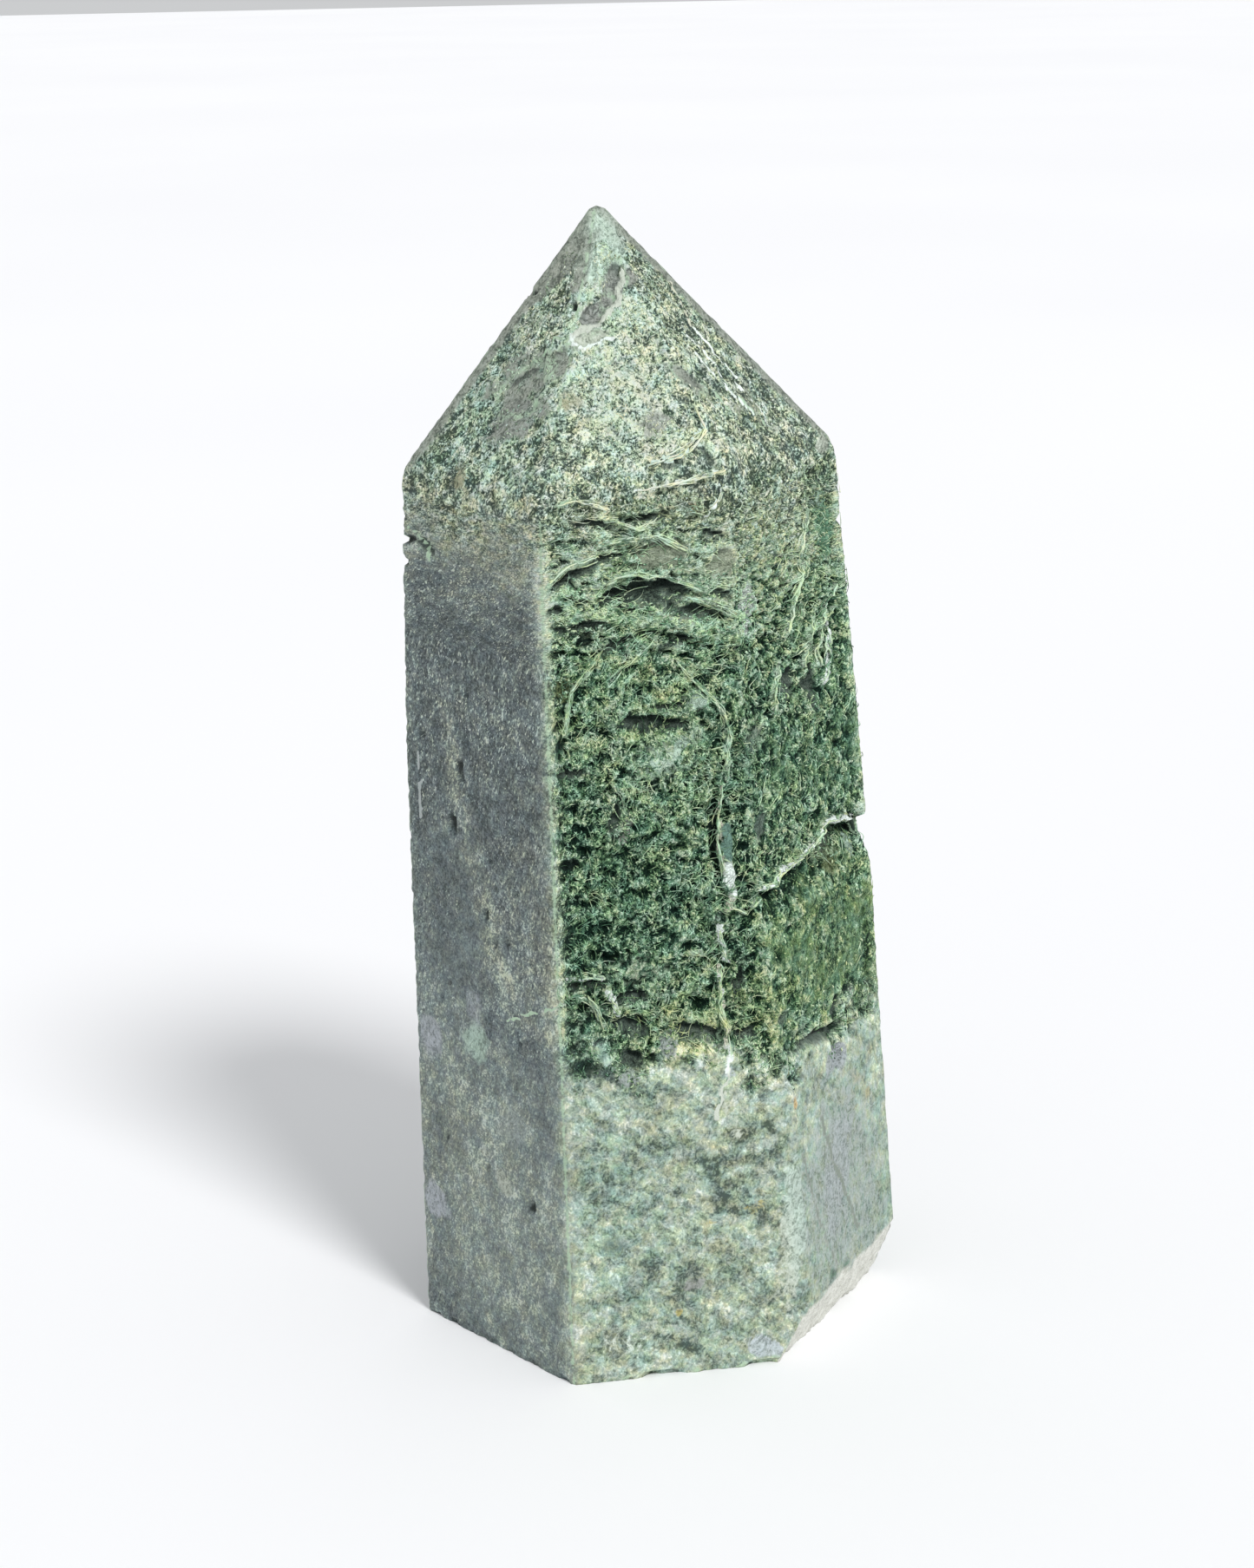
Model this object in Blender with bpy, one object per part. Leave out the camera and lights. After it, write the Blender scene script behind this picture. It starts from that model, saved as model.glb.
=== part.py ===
"""A moss agate tower: one stone, ground to six tapering sides and a six-sided point.

Metres, +Z up. The stone stands on its sawn base at z = 0, and the origin is the
middle of the base. The front of the stone looks along -Y.
"""

import math
import random

import bmesh
import bpy
from mathutils import Matrix, Vector, noise

# Driving dimensions

HEIGHT = 0.090
BLANK_WIDTH = 0.060
BLANK_HEIGHT = HEIGHT * 1.1
APEX = Vector((-0.0035, 0.0008, HEIGHT))

# Each side face: the way it faces, in degrees from the front towards the right, its
# distance from the axis at the base, and how far it leans in towards the top, in degrees.
SIDES = {
    "front_left": (-48.1, 0.01604, 0.8),
    "front": (10.6, 0.01425, 2.1),
    "front_right": (58.1, 0.01640, 4.8),
    "back_right": (131.9, 0.01530, 0.2),
    "back_right_upper": (131.9, 0.01682, 2.6),
    "back": (190.5, 0.01458, 1.8),
    "back_left": (240.0, 0.01584, -0.45),
    "back_left_upper": (240.0, 0.01739, 1.4),
}

# Each facet of the point passes through the apex: the way it faces, and how far its
# normal is tipped up from level, both in degrees.
TIP_FACETS = {
    "tip_front_left": (-45.6, 32.4),
    "tip_front": (5.0, 33.4),
    "tip_front_right": (58.7, 36.4),
    "tip_back_right": (131.0, 38.8),
    "tip_back": (190.0, 27.5),
    "tip_back_left": (242.0, 32.1),
}

# Edges worn soft: the two faces that meet there, and the width of the worn strip.
WORN_EDGES = (
    ("front_left", "front", 0.0008),
    ("front", "front_right", 0.0016),
    ("front_right", "back_right", 0.0006),
    ("front_right", "back_right_upper", 0.0006),
    ("back_right_upper", "back", 0.0011),
    ("back_right", "back", 0.0010),
    ("back", "back_left", 0.0010),
    ("back", "back_left_upper", 0.0010),
    ("back_left", "front_left", 0.0004),
    ("back_left_upper", "front_left", 0.0004),
    ("front_left", "tip_front_left", 0.0013),
    ("front", "tip_front", 0.0016),
    ("front_right", "tip_front_right", 0.0014),
    ("back_right_upper", "tip_back_right", 0.0026),
    ("back", "tip_back", 0.0014),
    ("back_left_upper", "tip_back_left", 0.0022),
    ("tip_front_left", "tip_front", 0.0012),
    ("tip_front", "tip_front_right", 0.0014),
    ("tip_front_right", "tip_back_right", 0.0008),
    ("tip_back_right", "tip_back", 0.0010),
    ("tip_back", "tip_back_left", 0.0010),
    ("tip_back_left", "tip_front_left", 0.0008),
)
APEX_WEAR = 0.0007
APEX_WEAR_FACING = Vector((0.15, -0.1, 1.0))

# The corner broken off at the foot of the right-hand edge: the fracture faces outward
# and down, and is uneven.
CHIP_FACING = 61.6
CHIP_TILT = -23.9
CHIP_DISTANCE = 0.01279
CHIP_SIZE = 0.034
CHIP_THICKNESS = 0.012
CHIP_GRID = 15
CHIP_UNEVEN = 0.00070
CHIP_WAVE = 0.0060

# The crack across the front right face: places (along the face, height) on its upper
# rim. Below the rim the stone is set back, most at the rim, and it comes out again.
CRACK_RIM = (
    (-0.0073, 0.0396, 0.10),
    (-0.0056, 0.0387, 0.45),
    (-0.0037, 0.0391, 0.70),
    (-0.0021, 0.0400, 0.90),
    (0.0007, 0.0403, 1.00),
    (0.0043, 0.0406, 1.00),
    (0.0065, 0.0410, 1.00),
    (0.0087, 0.0407, 0.95),
    (0.0116, 0.0411, 0.95),
)
CRACK_DEPTH = 0.0008
CRACK_REACH = 0.0042
CRACK_STAND_OFF = 0.0020

# Hollows: face, place along the face, height, half width, half height, depth, turn in
# degrees. The named ones are those that the stone shows; the backs are made to match.
HOLLOWS = (
    ("front", -0.0026, 0.0620, 0.0037, 0.0017, 0.0013, 4),
    ("front", 0.0012, 0.0605, 0.0019, 0.0008, 0.0009, -10),
    ("front", -0.0082, 0.0637, 0.0023, 0.0005, 0.0007, 22),
    ("front", -0.0066, 0.0673, 0.0016, 0.0005, 0.0007, -6),
    ("front", -0.0022, 0.0677, 0.0018, 0.0005, 0.0006, 10),
    ("front", 0.0026, 0.0664, 0.0014, 0.0004, 0.0005, -12),
    ("front", 0.0056, 0.0629, 0.0012, 0.0004, 0.0006, -20),
    ("front", -0.0014, 0.0652, 0.0023, 0.0014, 0.0006, 8),
    ("front", 0.0036, 0.0642, 0.0018, 0.0013, 0.0006, 0),
    ("front", -0.0070, 0.0600, 0.0018, 0.0006, 0.0006, 5),
    ("front", -0.0022, 0.0523, 0.0027, 0.0009, 0.0010, -8),
    ("front", 0.0010, 0.0545, 0.0009, 0.0014, 0.0008, -20),
    ("front", 0.0024, 0.0434, 0.0004, 0.0038, 0.0009, -3),
    ("front", -0.0076, 0.0325, 0.0024, 0.0005, 0.0007, -3),
    ("front", -0.0042, 0.0312, 0.0013, 0.0006, 0.0008, -4),
    ("front", -0.0046, 0.0289, 0.0018, 0.0011, 0.0009, -24),
    ("front", 0.0004, 0.0280, 0.0017, 0.0009, 0.0008, -8),
    ("front", 0.0043, 0.0275, 0.0010, 0.0007, 0.0007, 0),
    ("front", -0.0062, 0.0272, 0.0016, 0.0008, 0.0008, -18),
    ("front", -0.0088, 0.0420, 0.0012, 0.0007, 0.0006, 0),
    ("front", 0.0052, 0.0185, 0.0016, 0.0006, 0.0005, 12),
    ("front_right", 0.0055, 0.0525, 0.0009, 0.0023, 0.0009, 0),
    ("front_right", 0.0027, 0.0542, 0.0012, 0.0016, 0.0006, 10),
    ("front_right", 0.0041, 0.0570, 0.0005, 0.0018, 0.0006, -30),
    ("front_right", 0.0002, 0.0254, 0.0035, 0.0008, 0.0010, -6),
    ("front_right", 0.0046, 0.0264, 0.0007, 0.0014, 0.0007, -24),
    ("front_right", -0.0044, 0.0502, 0.0022, 0.0010, 0.0006, 30),
    ("front_right", 0.0109, 0.0408, 0.0012, 0.0013, 0.0012, -20),
    ("front_right", 0.0113, 0.0645, 0.0008, 0.0005, 0.0004, 0),
    ("front_left", -0.0116, 0.0646, 0.0010, 0.0004, 0.0007, 18),
    ("front_left", -0.0117, 0.0628, 0.0007, 0.0004, 0.0006, 0),
    ("front_left", -0.0089, 0.0643, 0.0009, 0.0005, 0.0007, -25),
    ("front_left", -0.0053, 0.0475, 0.0004, 0.0010, 0.0007, 12),
    ("front_left", -0.0059, 0.0432, 0.0004, 0.0010, 0.0007, 14),
    ("front_left", 0.0024, 0.0135, 0.0006, 0.0010, 0.0007, -20),
    ("tip_front", 0.0012, 0.0832, 0.0009, 0.0015, 0.0005, -14),
    ("tip_front", -0.0004, 0.0815, 0.0015, 0.0008, 0.0006, 36),
    ("tip_front", -0.0009, 0.0798, 0.0017, 0.0005, 0.0006, 16),
    ("tip_front", -0.0024, 0.0827, 0.0004, 0.0004, 0.0006, 0),
    ("tip_front_left", 0.0030, 0.0787, 0.0013, 0.0012, 0.0004, 20),
    ("tip_front_right", -0.0022, 0.0773, 0.0014, 0.0007, 0.0004, -30),
    ("front", -0.0030, 0.0003, 0.0024, 0.0006, 0.0005, 0),
    ("front", 0.0050, 0.0002, 0.0016, 0.0005, 0.0004, 0),
    ("back_right", -0.0030, 0.0230, 0.0030, 0.0012, 0.0009, 10),
    ("back_right_upper", 0.0020, 0.0560, 0.0026, 0.0014, 0.0009, -8),
    ("back_right_upper", -0.0045, 0.0610, 0.0014, 0.0007, 0.0007, 24),
    ("back_right_upper", 0.0010, 0.0435, 0.0005, 0.0030, 0.0008, 8),
    ("back", -0.0040, 0.0590, 0.0030, 0.0013, 0.0010, -12),
    ("back", 0.0030, 0.0480, 0.0021, 0.0010, 0.0008, 16),
    ("back", -0.0010, 0.0350, 0.0036, 0.0009, 0.0008, 6),
    ("back", 0.0045, 0.0220, 0.0016, 0.0012, 0.0008, 0),
    ("back_left", 0.0020, 0.0300, 0.0024, 0.0010, 0.0008, -14),
    ("back_left", -0.0040, 0.0180, 0.0012, 0.0007, 0.0006, 12),
    ("back_left_upper", -0.0010, 0.0570, 0.0026, 0.0012, 0.0009, 8),
    ("tip_back", 0.0010, 0.0780, 0.0018, 0.0009, 0.0006, 10),
)
HOLLOW_LIFT = 0.35
HOLLOW_ROUGHNESS = 0.28
HOLLOW_LUMPS = 1.3
HOLLOW_VARIETY = 1000
BROAD_HOLLOW = 0.0015
BROAD_HOLLOW_SUBDIVISIONS = 2
SMALL_HOLLOW_SUBDIVISIONS = 1

# The mossy middle of the stone took no polish and is eaten back unevenly: how far, at
# most, on each side, and the spacing of the facets that show it.
RELIEF = {
    "front": 0.00055,
    "front_right": 0.00045,
    "front_left": 0.00015,
    "back_right": 0.00035,
    "back_right_upper": 0.00045,
    "back": 0.00045,
    "back_left": 0.00035,
    "back_left_upper": 0.00035,
}
RELIEF_HEIGHTS = (0.020, 0.070)
RELIEF_FADE = 0.0040
RELIEF_ROW = 0.0025
RELIEF_COLUMN = 0.0028
RELIEF_WAVE = 0.0042
RELIEF_STRETCH = 1.8
RELIEF_FALLOFF = 1.0
RELIEF_FINER = 2.0
RELIEF_OCTAVES = 2
RELIEF_BLEND = 0.0008
EDGE_FADE = 0.0016
EDGE_RELIEF = 0.25
THINNEST_SLICE = 0.0004
SAME_FACE = 0.9999

# Small pits scattered over the mossy middle of the stone.
PIT_SEED = 11
PITS_PER_FACE = {
    "front": 26,
    "front_right": 16,
    "front_left": 7,
    "back_right": 8,
    "back_right_upper": 8,
    "back": 16,
    "back_left": 8,
    "back_left_upper": 6,
}
PIT_HEIGHTS = {
    "back_right": (0.012, 0.034),
    "back_right_upper": (0.040, 0.064),
    "back_left": (0.012, 0.044),
    "back_left_upper": (0.050, 0.064),
}
MOSS_HEIGHTS = (0.024, 0.066)
PIT_SPREAD = 0.0072
PIT_HALF_WIDTH = (0.0005, 0.0012)
PIT_FLATNESS = (0.5, 0.9)
PIT_TURN = 30
PIT_DEPTH = (0.0003, 0.0006)


class Face:
    """The plane of one ground face, with directions along it."""

    def __init__(self, name):
        if name in SIDES:
            facing, distance, tilt = SIDES[name]
        else:
            facing, tilt = TIP_FACETS[name]
            distance = None
        self.set_directions(facing, tilt)
        if distance is None:
            self.origin = APEX.copy()
        else:
            self.origin = self.outward * distance

    def set_directions(self, facing, tilt):
        turn = math.radians(facing)
        tip = math.radians(tilt)
        self.outward = Vector((math.sin(turn), -math.cos(turn), 0.0))
        self.right = Vector((math.cos(turn), math.sin(turn), 0.0))
        self.normal = self.outward * math.cos(tip) + Vector((0, 0, math.sin(tip)))
        self.up = self.right.cross(self.normal) * -1.0

    def place(self, along, height, out=0.0):
        """The point at a distance along the face and a height above the base."""
        rise = (height - self.origin.z) / self.up.z
        return self.origin + self.right * along + self.up * rise + self.normal * out

    def axes(self):
        """Rotation whose X runs along the face, Y up it and Z out of it."""
        return Matrix((self.right, self.up, self.normal)).transposed().to_4x4()


SIDE_FACES = {name: Face(name) for name in SIDES}


def clear_scene():
    for item in list(bpy.data.objects):
        bpy.data.objects.remove(item, do_unlink=True)


def new_collection(name):
    collection = bpy.data.collections.new(name)
    bpy.context.scene.collection.children.link(collection)
    return collection


def finish_mesh(name, bm, collection):
    """Turn a bmesh into an object in a collection, its faces pointing out."""
    bmesh.ops.recalc_face_normals(bm, faces=bm.faces)
    mesh = bpy.data.meshes.new(name)
    bm.to_mesh(mesh)
    bm.free()
    item = bpy.data.objects.new(name, mesh)
    collection.objects.link(item)
    return item


def grind(bm, point, normal):
    """Cut away all that stands out of a plane, and close the cut."""
    everything = bm.verts[:] + bm.edges[:] + bm.faces[:]
    cut = bmesh.ops.bisect_plane(
        bm, geom=everything, plane_co=point, plane_no=normal, clear_outer=True
    )
    rim = [part for part in cut["geom_cut"] if isinstance(part, bmesh.types.BMEdge)]
    if rim:
        bmesh.ops.edgeloop_fill(bm, edges=rim)


def wear_edge(bm, first, second, width):
    """Flatten the edge between two faces to a strip of a given width."""
    lean = (first.normal + second.normal).normalized()
    line = first.normal.cross(second.normal)
    corner = meeting_point(first, second, line)
    half_angle = first.normal.angle(second.normal) / 2
    depth = width / 2 * math.tan(half_angle)
    grind(bm, corner - lean * depth, lean)


def meeting_point(first, second, line):
    """A point on the line where two planes meet."""
    rows = Matrix((first.normal, second.normal, line))
    reach = Vector((first.normal.dot(first.origin), second.normal.dot(second.origin), 0))
    return rows.inverted() @ reach


def side_of(face, sides):
    """The name of the ground side that a mesh face lies in, or None."""
    for name, side in sides.items():
        if face.normal.dot(side.normal) > SAME_FACE:
            return name
    return None


def slice_rows(bm):
    """Cut level lines round the mossy middle."""
    low, high = RELIEF_HEIGHTS
    for row in range(round((high - low) / RELIEF_ROW) + 1):
        everything = bm.verts[:] + bm.edges[:] + bm.faces[:]
        level = Vector((0, 0, low + row * RELIEF_ROW))
        bmesh.ops.bisect_plane(bm, geom=everything, plane_co=level, plane_no=(0, 0, 1))


def slice_columns(bm, sides):
    """Cut upright lines on each side, between the first and the last level line."""
    low, high = RELIEF_HEIGHTS
    columns = round(BLANK_WIDTH / 2 / RELIEF_COLUMN)
    for name, side in sides.items():
        for column in range(-columns, columns + 1):
            strip = [
                face for face in bm.faces
                if side_of(face, sides) == name and low < face.calc_center_median().z < high
            ]
            edges = {edge for face in strip for edge in face.edges}
            verts = {vert for face in strip for vert in face.verts}
            line = side.origin + side.right * (column * RELIEF_COLUMN)
            geom = strip + list(edges) + list(verts)
            bmesh.ops.bisect_plane(bm, geom=geom, plane_co=line, plane_no=side.right)


def sinking(point, sides):
    """How far, and which way, the worn stone lies behind a point of the ground blank."""
    low, high = RELIEF_HEIGHTS
    reach = min(point.z - low, high - point.z) / RELIEF_FADE
    if reach <= 0:
        return Vector((0, 0, 0))
    gaps = {name: (side.origin - point).dot(side.normal) for name, side in sides.items()}
    shares = {name: math.exp(-abs(gap) / RELIEF_BLEND) for name, gap in gaps.items()}
    limit = sum(RELIEF[name] * share for name, share in shares.items())
    inward = sum((sides[name].normal * -share for name, share in shares.items()), Vector())
    next_side = sorted(abs(gap) for gap in gaps.values())[1]
    edge_fade = max(EDGE_RELIEF, min(next_side / EDGE_FADE, 1.0))
    spot = point / RELIEF_WAVE
    spot.z *= RELIEF_STRETCH
    wave = noise.fractal(spot, RELIEF_FALLOFF, RELIEF_FINER, RELIEF_OCTAVES)
    share = max((1 + wave) / 2, 0.0)
    depth = limit / sum(shares.values()) * min(reach, 1.0) * edge_fade * share
    return inward.normalized() * depth


def eat_back(bm, sides):
    """Sink the points of the mossy middle into the stone by an uneven amount."""
    for vert in bm.verts:
        vert.co += sinking(vert.co, sides)


def make_stone(collection):
    """The ground stone: sides, point and worn edges, with its mossy middle eaten back."""
    faces = {**SIDE_FACES, **{name: Face(name) for name in TIP_FACETS}}
    bm = bmesh.new()
    bmesh.ops.create_cube(bm, size=1.0)
    bmesh.ops.scale(bm, vec=(BLANK_WIDTH, BLANK_WIDTH, BLANK_HEIGHT), verts=bm.verts)
    bmesh.ops.translate(bm, vec=(0, 0, BLANK_HEIGHT / 2), verts=bm.verts)
    for face in faces.values():
        grind(bm, face.origin, face.normal)
    for first, second, width in WORN_EDGES:
        wear_edge(bm, faces[first], faces[second], width)
    grind(bm, APEX - Vector((0, 0, APEX_WEAR)), APEX_WEAR_FACING.normalized())
    slice_rows(bm)
    slice_columns(bm, SIDE_FACES)
    bmesh.ops.dissolve_degenerate(bm, dist=THINNEST_SLICE, edges=bm.edges)
    eat_back(bm, SIDE_FACES)
    bmesh.ops.triangulate(bm, faces=bm.faces)
    return finish_mesh("agate_tower", bm, collection)


def make_hollow(name, face, along, height, size, turn, collection):
    """An uneven lens-shaped lump that cuts one hollow. Size is half width, half
    height and depth of the hollow that it leaves."""
    half_width, half_height, depth = size
    broad = max(half_width, half_height) > BROAD_HOLLOW
    subdivisions = BROAD_HOLLOW_SUBDIVISIONS if broad else SMALL_HOLLOW_SUBDIVISIONS
    spread = 1 / math.sqrt(1 - HOLLOW_LIFT**2)
    thickness = depth / (1 - HOLLOW_LIFT)
    bm = bmesh.new()
    bmesh.ops.create_icosphere(bm, subdivisions=subdivisions, radius=1.0)
    own_shape = Vector((along, height, depth)) * HOLLOW_VARIETY
    for vert in bm.verts:
        vert.co *= 1 + HOLLOW_ROUGHNESS * noise.noise(vert.co * HOLLOW_LUMPS + own_shape)
    scale = (half_width * spread, half_height * spread, thickness)
    bmesh.ops.scale(bm, vec=scale, verts=bm.verts)
    spot = face.place(along, height, thickness * HOLLOW_LIFT)
    spot += sinking(face.place(along, height), SIDE_FACES)
    place = Matrix.Translation(spot)
    twist = Matrix.Rotation(math.radians(turn), 4, "Z")
    bmesh.ops.transform(bm, matrix=place @ face.axes() @ twist, verts=bm.verts)
    return finish_mesh(name, bm, collection)


def make_hollows(collection):
    for number, entry in enumerate(HOLLOWS):
        face_name, along, height, half_width, half_height, depth, turn = entry
        size = (half_width, half_height, depth)
        make_hollow(f"hollow_{number}", Face(face_name), along, height, size, turn, collection)


def make_pits(collection):
    """Small pits strewn over the mossy middle of each side."""
    chance = random.Random(PIT_SEED)
    for face_name, count in PITS_PER_FACE.items():
        low, high = PIT_HEIGHTS.get(face_name, MOSS_HEIGHTS)
        for number in range(count):
            along = chance.uniform(-PIT_SPREAD, PIT_SPREAD)
            height = chance.uniform(low, high)
            half_width = chance.uniform(*PIT_HALF_WIDTH)
            half_height = half_width * chance.uniform(*PIT_FLATNESS)
            size = (half_width, half_height, chance.uniform(*PIT_DEPTH))
            turn = chance.uniform(-PIT_TURN, PIT_TURN)
            name = f"pit_{face_name}_{number}"
            make_hollow(name, Face(face_name), along, height, size, turn, collection)


def make_crack(collection):
    """A wedge lofted along the crack: sheer under the rim, and thin at its foot."""
    face = Face("front_right")
    bm = bmesh.new()
    sections = []
    for along, height, strength in CRACK_RIM:
        foot = height - CRACK_REACH * (0.5 + strength / 2)
        section = (
            face.place(along, height, CRACK_STAND_OFF),
            face.place(along, height, -CRACK_DEPTH * strength),
            face.place(along, foot, 0.0),
            face.place(along, foot, CRACK_STAND_OFF),
        )
        sections.append([bm.verts.new(point) for point in section])
    for near, far in zip(sections, sections[1:]):
        for corner in range(4):
            following = (corner + 1) % 4
            bm.faces.new((near[corner], near[following], far[following], far[corner]))
    bm.faces.new(sections[0])
    bm.faces.new(reversed(sections[-1]))
    bmesh.ops.triangulate(bm, faces=bm.faces)
    return finish_mesh("crack", bm, collection)


def make_chip(collection):
    """A thick plate with an uneven inner side, for the broken corner."""
    facing = Face("front")
    facing.set_directions(CHIP_FACING, CHIP_TILT)
    bm = bmesh.new()
    bmesh.ops.create_grid(
        bm, x_segments=CHIP_GRID, y_segments=CHIP_GRID, size=CHIP_SIZE / 2
    )
    for vert in bm.verts:
        vert.co.z = CHIP_UNEVEN * noise.noise(vert.co / CHIP_WAVE)
    top = bmesh.ops.extrude_face_region(bm, geom=bm.faces[:])["geom"]
    raised = [part for part in top if isinstance(part, bmesh.types.BMVert)]
    bmesh.ops.translate(bm, vec=(0, 0, CHIP_THICKNESS), verts=raised)
    centre = Matrix.Translation(facing.normal * CHIP_DISTANCE)
    bmesh.ops.transform(bm, matrix=centre @ facing.axes(), verts=bm.verts)
    return finish_mesh("chip", bm, collection)


def hide_cutters(collection):
    for cutter in collection.objects:
        cutter.hide_render = True
        cutter.display_type = "WIRE"


def cut_with(stone, collection):
    """Take every cutter of a collection out of the stone."""
    cut = stone.modifiers.new(collection.name, "BOOLEAN")
    cut.operation = "DIFFERENCE"
    cut.solver = "EXACT"
    cut.operand_type = "COLLECTION"
    cut.collection = collection


def stone_material():
    """Dark green stone with a dull ground polish."""
    material = bpy.data.materials.new("moss_agate")
    material.use_nodes = True
    shader = material.node_tree.nodes["Principled BSDF"]
    shader.inputs["Base Color"].default_value = (0.115, 0.165, 0.105, 1.0)
    shader.inputs["Roughness"].default_value = 0.55
    shader.inputs["Metallic"].default_value = 0.0
    return material


def main():
    clear_scene()
    tower = new_collection("moss_agate_tower")
    damage = new_collection("damage_cutters")
    hollows = new_collection("hollow_cutters")
    stone = make_stone(tower)
    stone.data.materials.append(stone_material())
    make_chip(damage)
    make_crack(damage)
    make_hollows(hollows)
    make_pits(hollows)
    for collection in (damage, hollows):
        hide_cutters(collection)
        cut_with(stone, collection)


main()
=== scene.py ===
"""Looks of the moss agate tower: a dense skin of the one stone, with its moss, veins,
hollows, crack and broken corner, and the pale floor and soft light of the photograph.

Places on the stone are in millimetres: along a face from its middle, positive to the
right as one looks at it, and height above the base. A fade is a pair of values: where
something is not there yet, and where it is whole.
"""

import math

import bpy
import numpy as np
from mathutils import Matrix, Vector


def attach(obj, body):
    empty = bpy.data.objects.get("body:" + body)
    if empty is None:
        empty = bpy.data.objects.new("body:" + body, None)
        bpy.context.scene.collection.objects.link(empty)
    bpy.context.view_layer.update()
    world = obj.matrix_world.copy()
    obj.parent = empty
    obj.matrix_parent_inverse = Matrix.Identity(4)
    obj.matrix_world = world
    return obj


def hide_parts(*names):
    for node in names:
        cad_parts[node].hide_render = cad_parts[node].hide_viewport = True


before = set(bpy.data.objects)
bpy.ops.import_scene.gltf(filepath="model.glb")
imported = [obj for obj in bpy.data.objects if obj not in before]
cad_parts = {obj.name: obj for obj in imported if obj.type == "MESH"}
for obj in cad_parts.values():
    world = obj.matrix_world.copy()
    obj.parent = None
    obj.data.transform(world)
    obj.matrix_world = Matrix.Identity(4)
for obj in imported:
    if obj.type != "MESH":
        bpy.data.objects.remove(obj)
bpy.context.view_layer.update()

# The ground stone, in millimetres and degrees, as in the CAD

MM = 0.001
TINY = 1e-6
FAINT = 1e-4
APEX = np.array((-3.5, 0.8, 90.0))

# Way the face faces, from the front to the right; distance from the axis; lean inwards
SIDES = {
    "front_left": (-48.1, 16.04, 0.8),
    "front": (10.6, 14.25, 2.1),
    "front_right": (58.1, 16.40, 4.8),
    "back_right": (131.9, 15.30, 0.2),
    "back_right_upper": (131.9, 16.82, 2.6),
    "back": (190.5, 14.58, 1.8),
    "back_left": (240.0, 15.84, -0.45),
    "back_left_upper": (240.0, 17.39, 1.4),
}
# The facets all pass through the apex: way they face, and lean
TIP_FACETS = {
    "tip_front_left": (-45.6, 32.4),
    "tip_front": (5.0, 33.4),
    "tip_front_right": (58.7, 36.4),
    "tip_back_right": (131.0, 38.8),
    "tip_back": (190.0, 27.5),
    "tip_back_left": (242.0, 32.1),
}
# Each of the six turns of the stone: its side, the upper part of a side that is ground
# in two planes, and its facet of the point
TURNS = (
    ("front_left", "front_left", "tip_front_left"),
    ("front", "front", "tip_front"),
    ("front_right", "front_right", "tip_front_right"),
    ("back_right", "back_right_upper", "tip_back_right"),
    ("back", "back", "tip_back"),
    ("back_left", "back_left_upper", "tip_back_left"),
)
# Edges worn soft, and how wide
WORN_EDGES = (
    ("front_left", "front", 0.5),
    ("front", "front_right", 1.5),
    ("front_right", "back_right", 0.4),
    ("front_right", "back_right_upper", 0.4),
    ("back_right_upper", "back", 1.0),
    ("back_right", "back", 0.9),
    ("back", "back_left", 0.9),
    ("back", "back_left_upper", 0.9),
    ("back_left", "front_left", 0.3),
    ("back_left_upper", "front_left", 0.3),
    ("front_left", "tip_front_left", 1.6),
    ("front", "tip_front", 2.6),
    ("front_right", "tip_front_right", 1.6),
    ("back_right_upper", "tip_back_right", 2.6),
    ("back", "tip_back", 1.4),
    ("back_left_upper", "tip_back_left", 2.2),
    ("tip_front_left", "tip_front", 0.9),
    ("tip_front", "tip_front_right", 1.6),
    ("tip_front_right", "tip_back_right", 0.6),
    ("tip_back_right", "tip_back", 0.9),
    ("tip_back", "tip_back_left", 0.9),
    ("tip_back_left", "tip_front_left", 0.6),
)
APEX_WEAR = 0.7
APEX_WEAR_FACING = np.array((0.15, -0.1, 1.0))
# The broken corner: way it faces, distance from the axis and lean, and its uneven grain
CHIP = (61.6, 13.99, -23.9)
CHIP_UNEVEN = 0.20
CHIP_SCALLOP = 0.14
CHIP_SCALLOP_SIZE = 2.7
CHIP_SCALLOP_LAYERS = 2
CHIP_GRAIN = 0.10
CHIP_FADE = (-0.05, 0.12)

# How fine the skin is: columns on each turn, and heights of the rings, as where a
# stretch begins and its first and last step

NOISE_SEED = 7
COLUMNS = {
    "front_left": 50,
    "front": 80,
    "front_right": 76,
    "back_right": 36,
    "back": 38,
    "back_left": 34,
}
RING_STEPS = ((0.0, 0.12, 0.45), (2.0, 0.48, 0.48), (23.0, 0.25, 0.25), (66.0, 0.26, 0.34))
TOP_RING = 89.05
CROWN = (-3.5, 0.8, 89.28)
BASE_RINGS = 12
BASE_HOLE = 0.04
# Above this height the rings' axis leans towards the apex
AXIS_BEND = 60.0
SHOULDER_BLEND = 1.5
# How softly faces share the points between them, and how near a point has to be to a
# face to take its markings
SHARE_BLEND = 0.35
NEAR_FACE = 1.3

# Noises over the stone: size, layers, and a shift that makes each one different

NOISES = {
    "wander": (6.0, 3, 0.0),
    "tear": (1.7, 3, 90.0),
    "back_moss": (12.0, 3, 40.0),
    "region": (3.0, 3, 0.0),
    "plates": (2.4, 3, 200.0),
    "patch": (1.6, 4, 0.0),
    "broad": (4.2, 2, 0.0),
    "grit": (0.55, 2, 0.0),
    "fold_bend": (3.6, 3, 9.0),
    "fold_strength": (2.6, 2, -23.0),
    "hollow": (1.1, 3, 0.0),
    "crack": (0.9, 2, 0.0),
    "nicks": (1.3, 2, 0.0),
    "base": (1.8, 3, 0.0),
    "chip": (4.5, 4, 0.0),
    "chip_grain": (0.8, 3, 0.0),
    "clumps": (3.4, 2, -31.0),
    "lean": (5.0, 2, 7.0),
}
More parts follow.
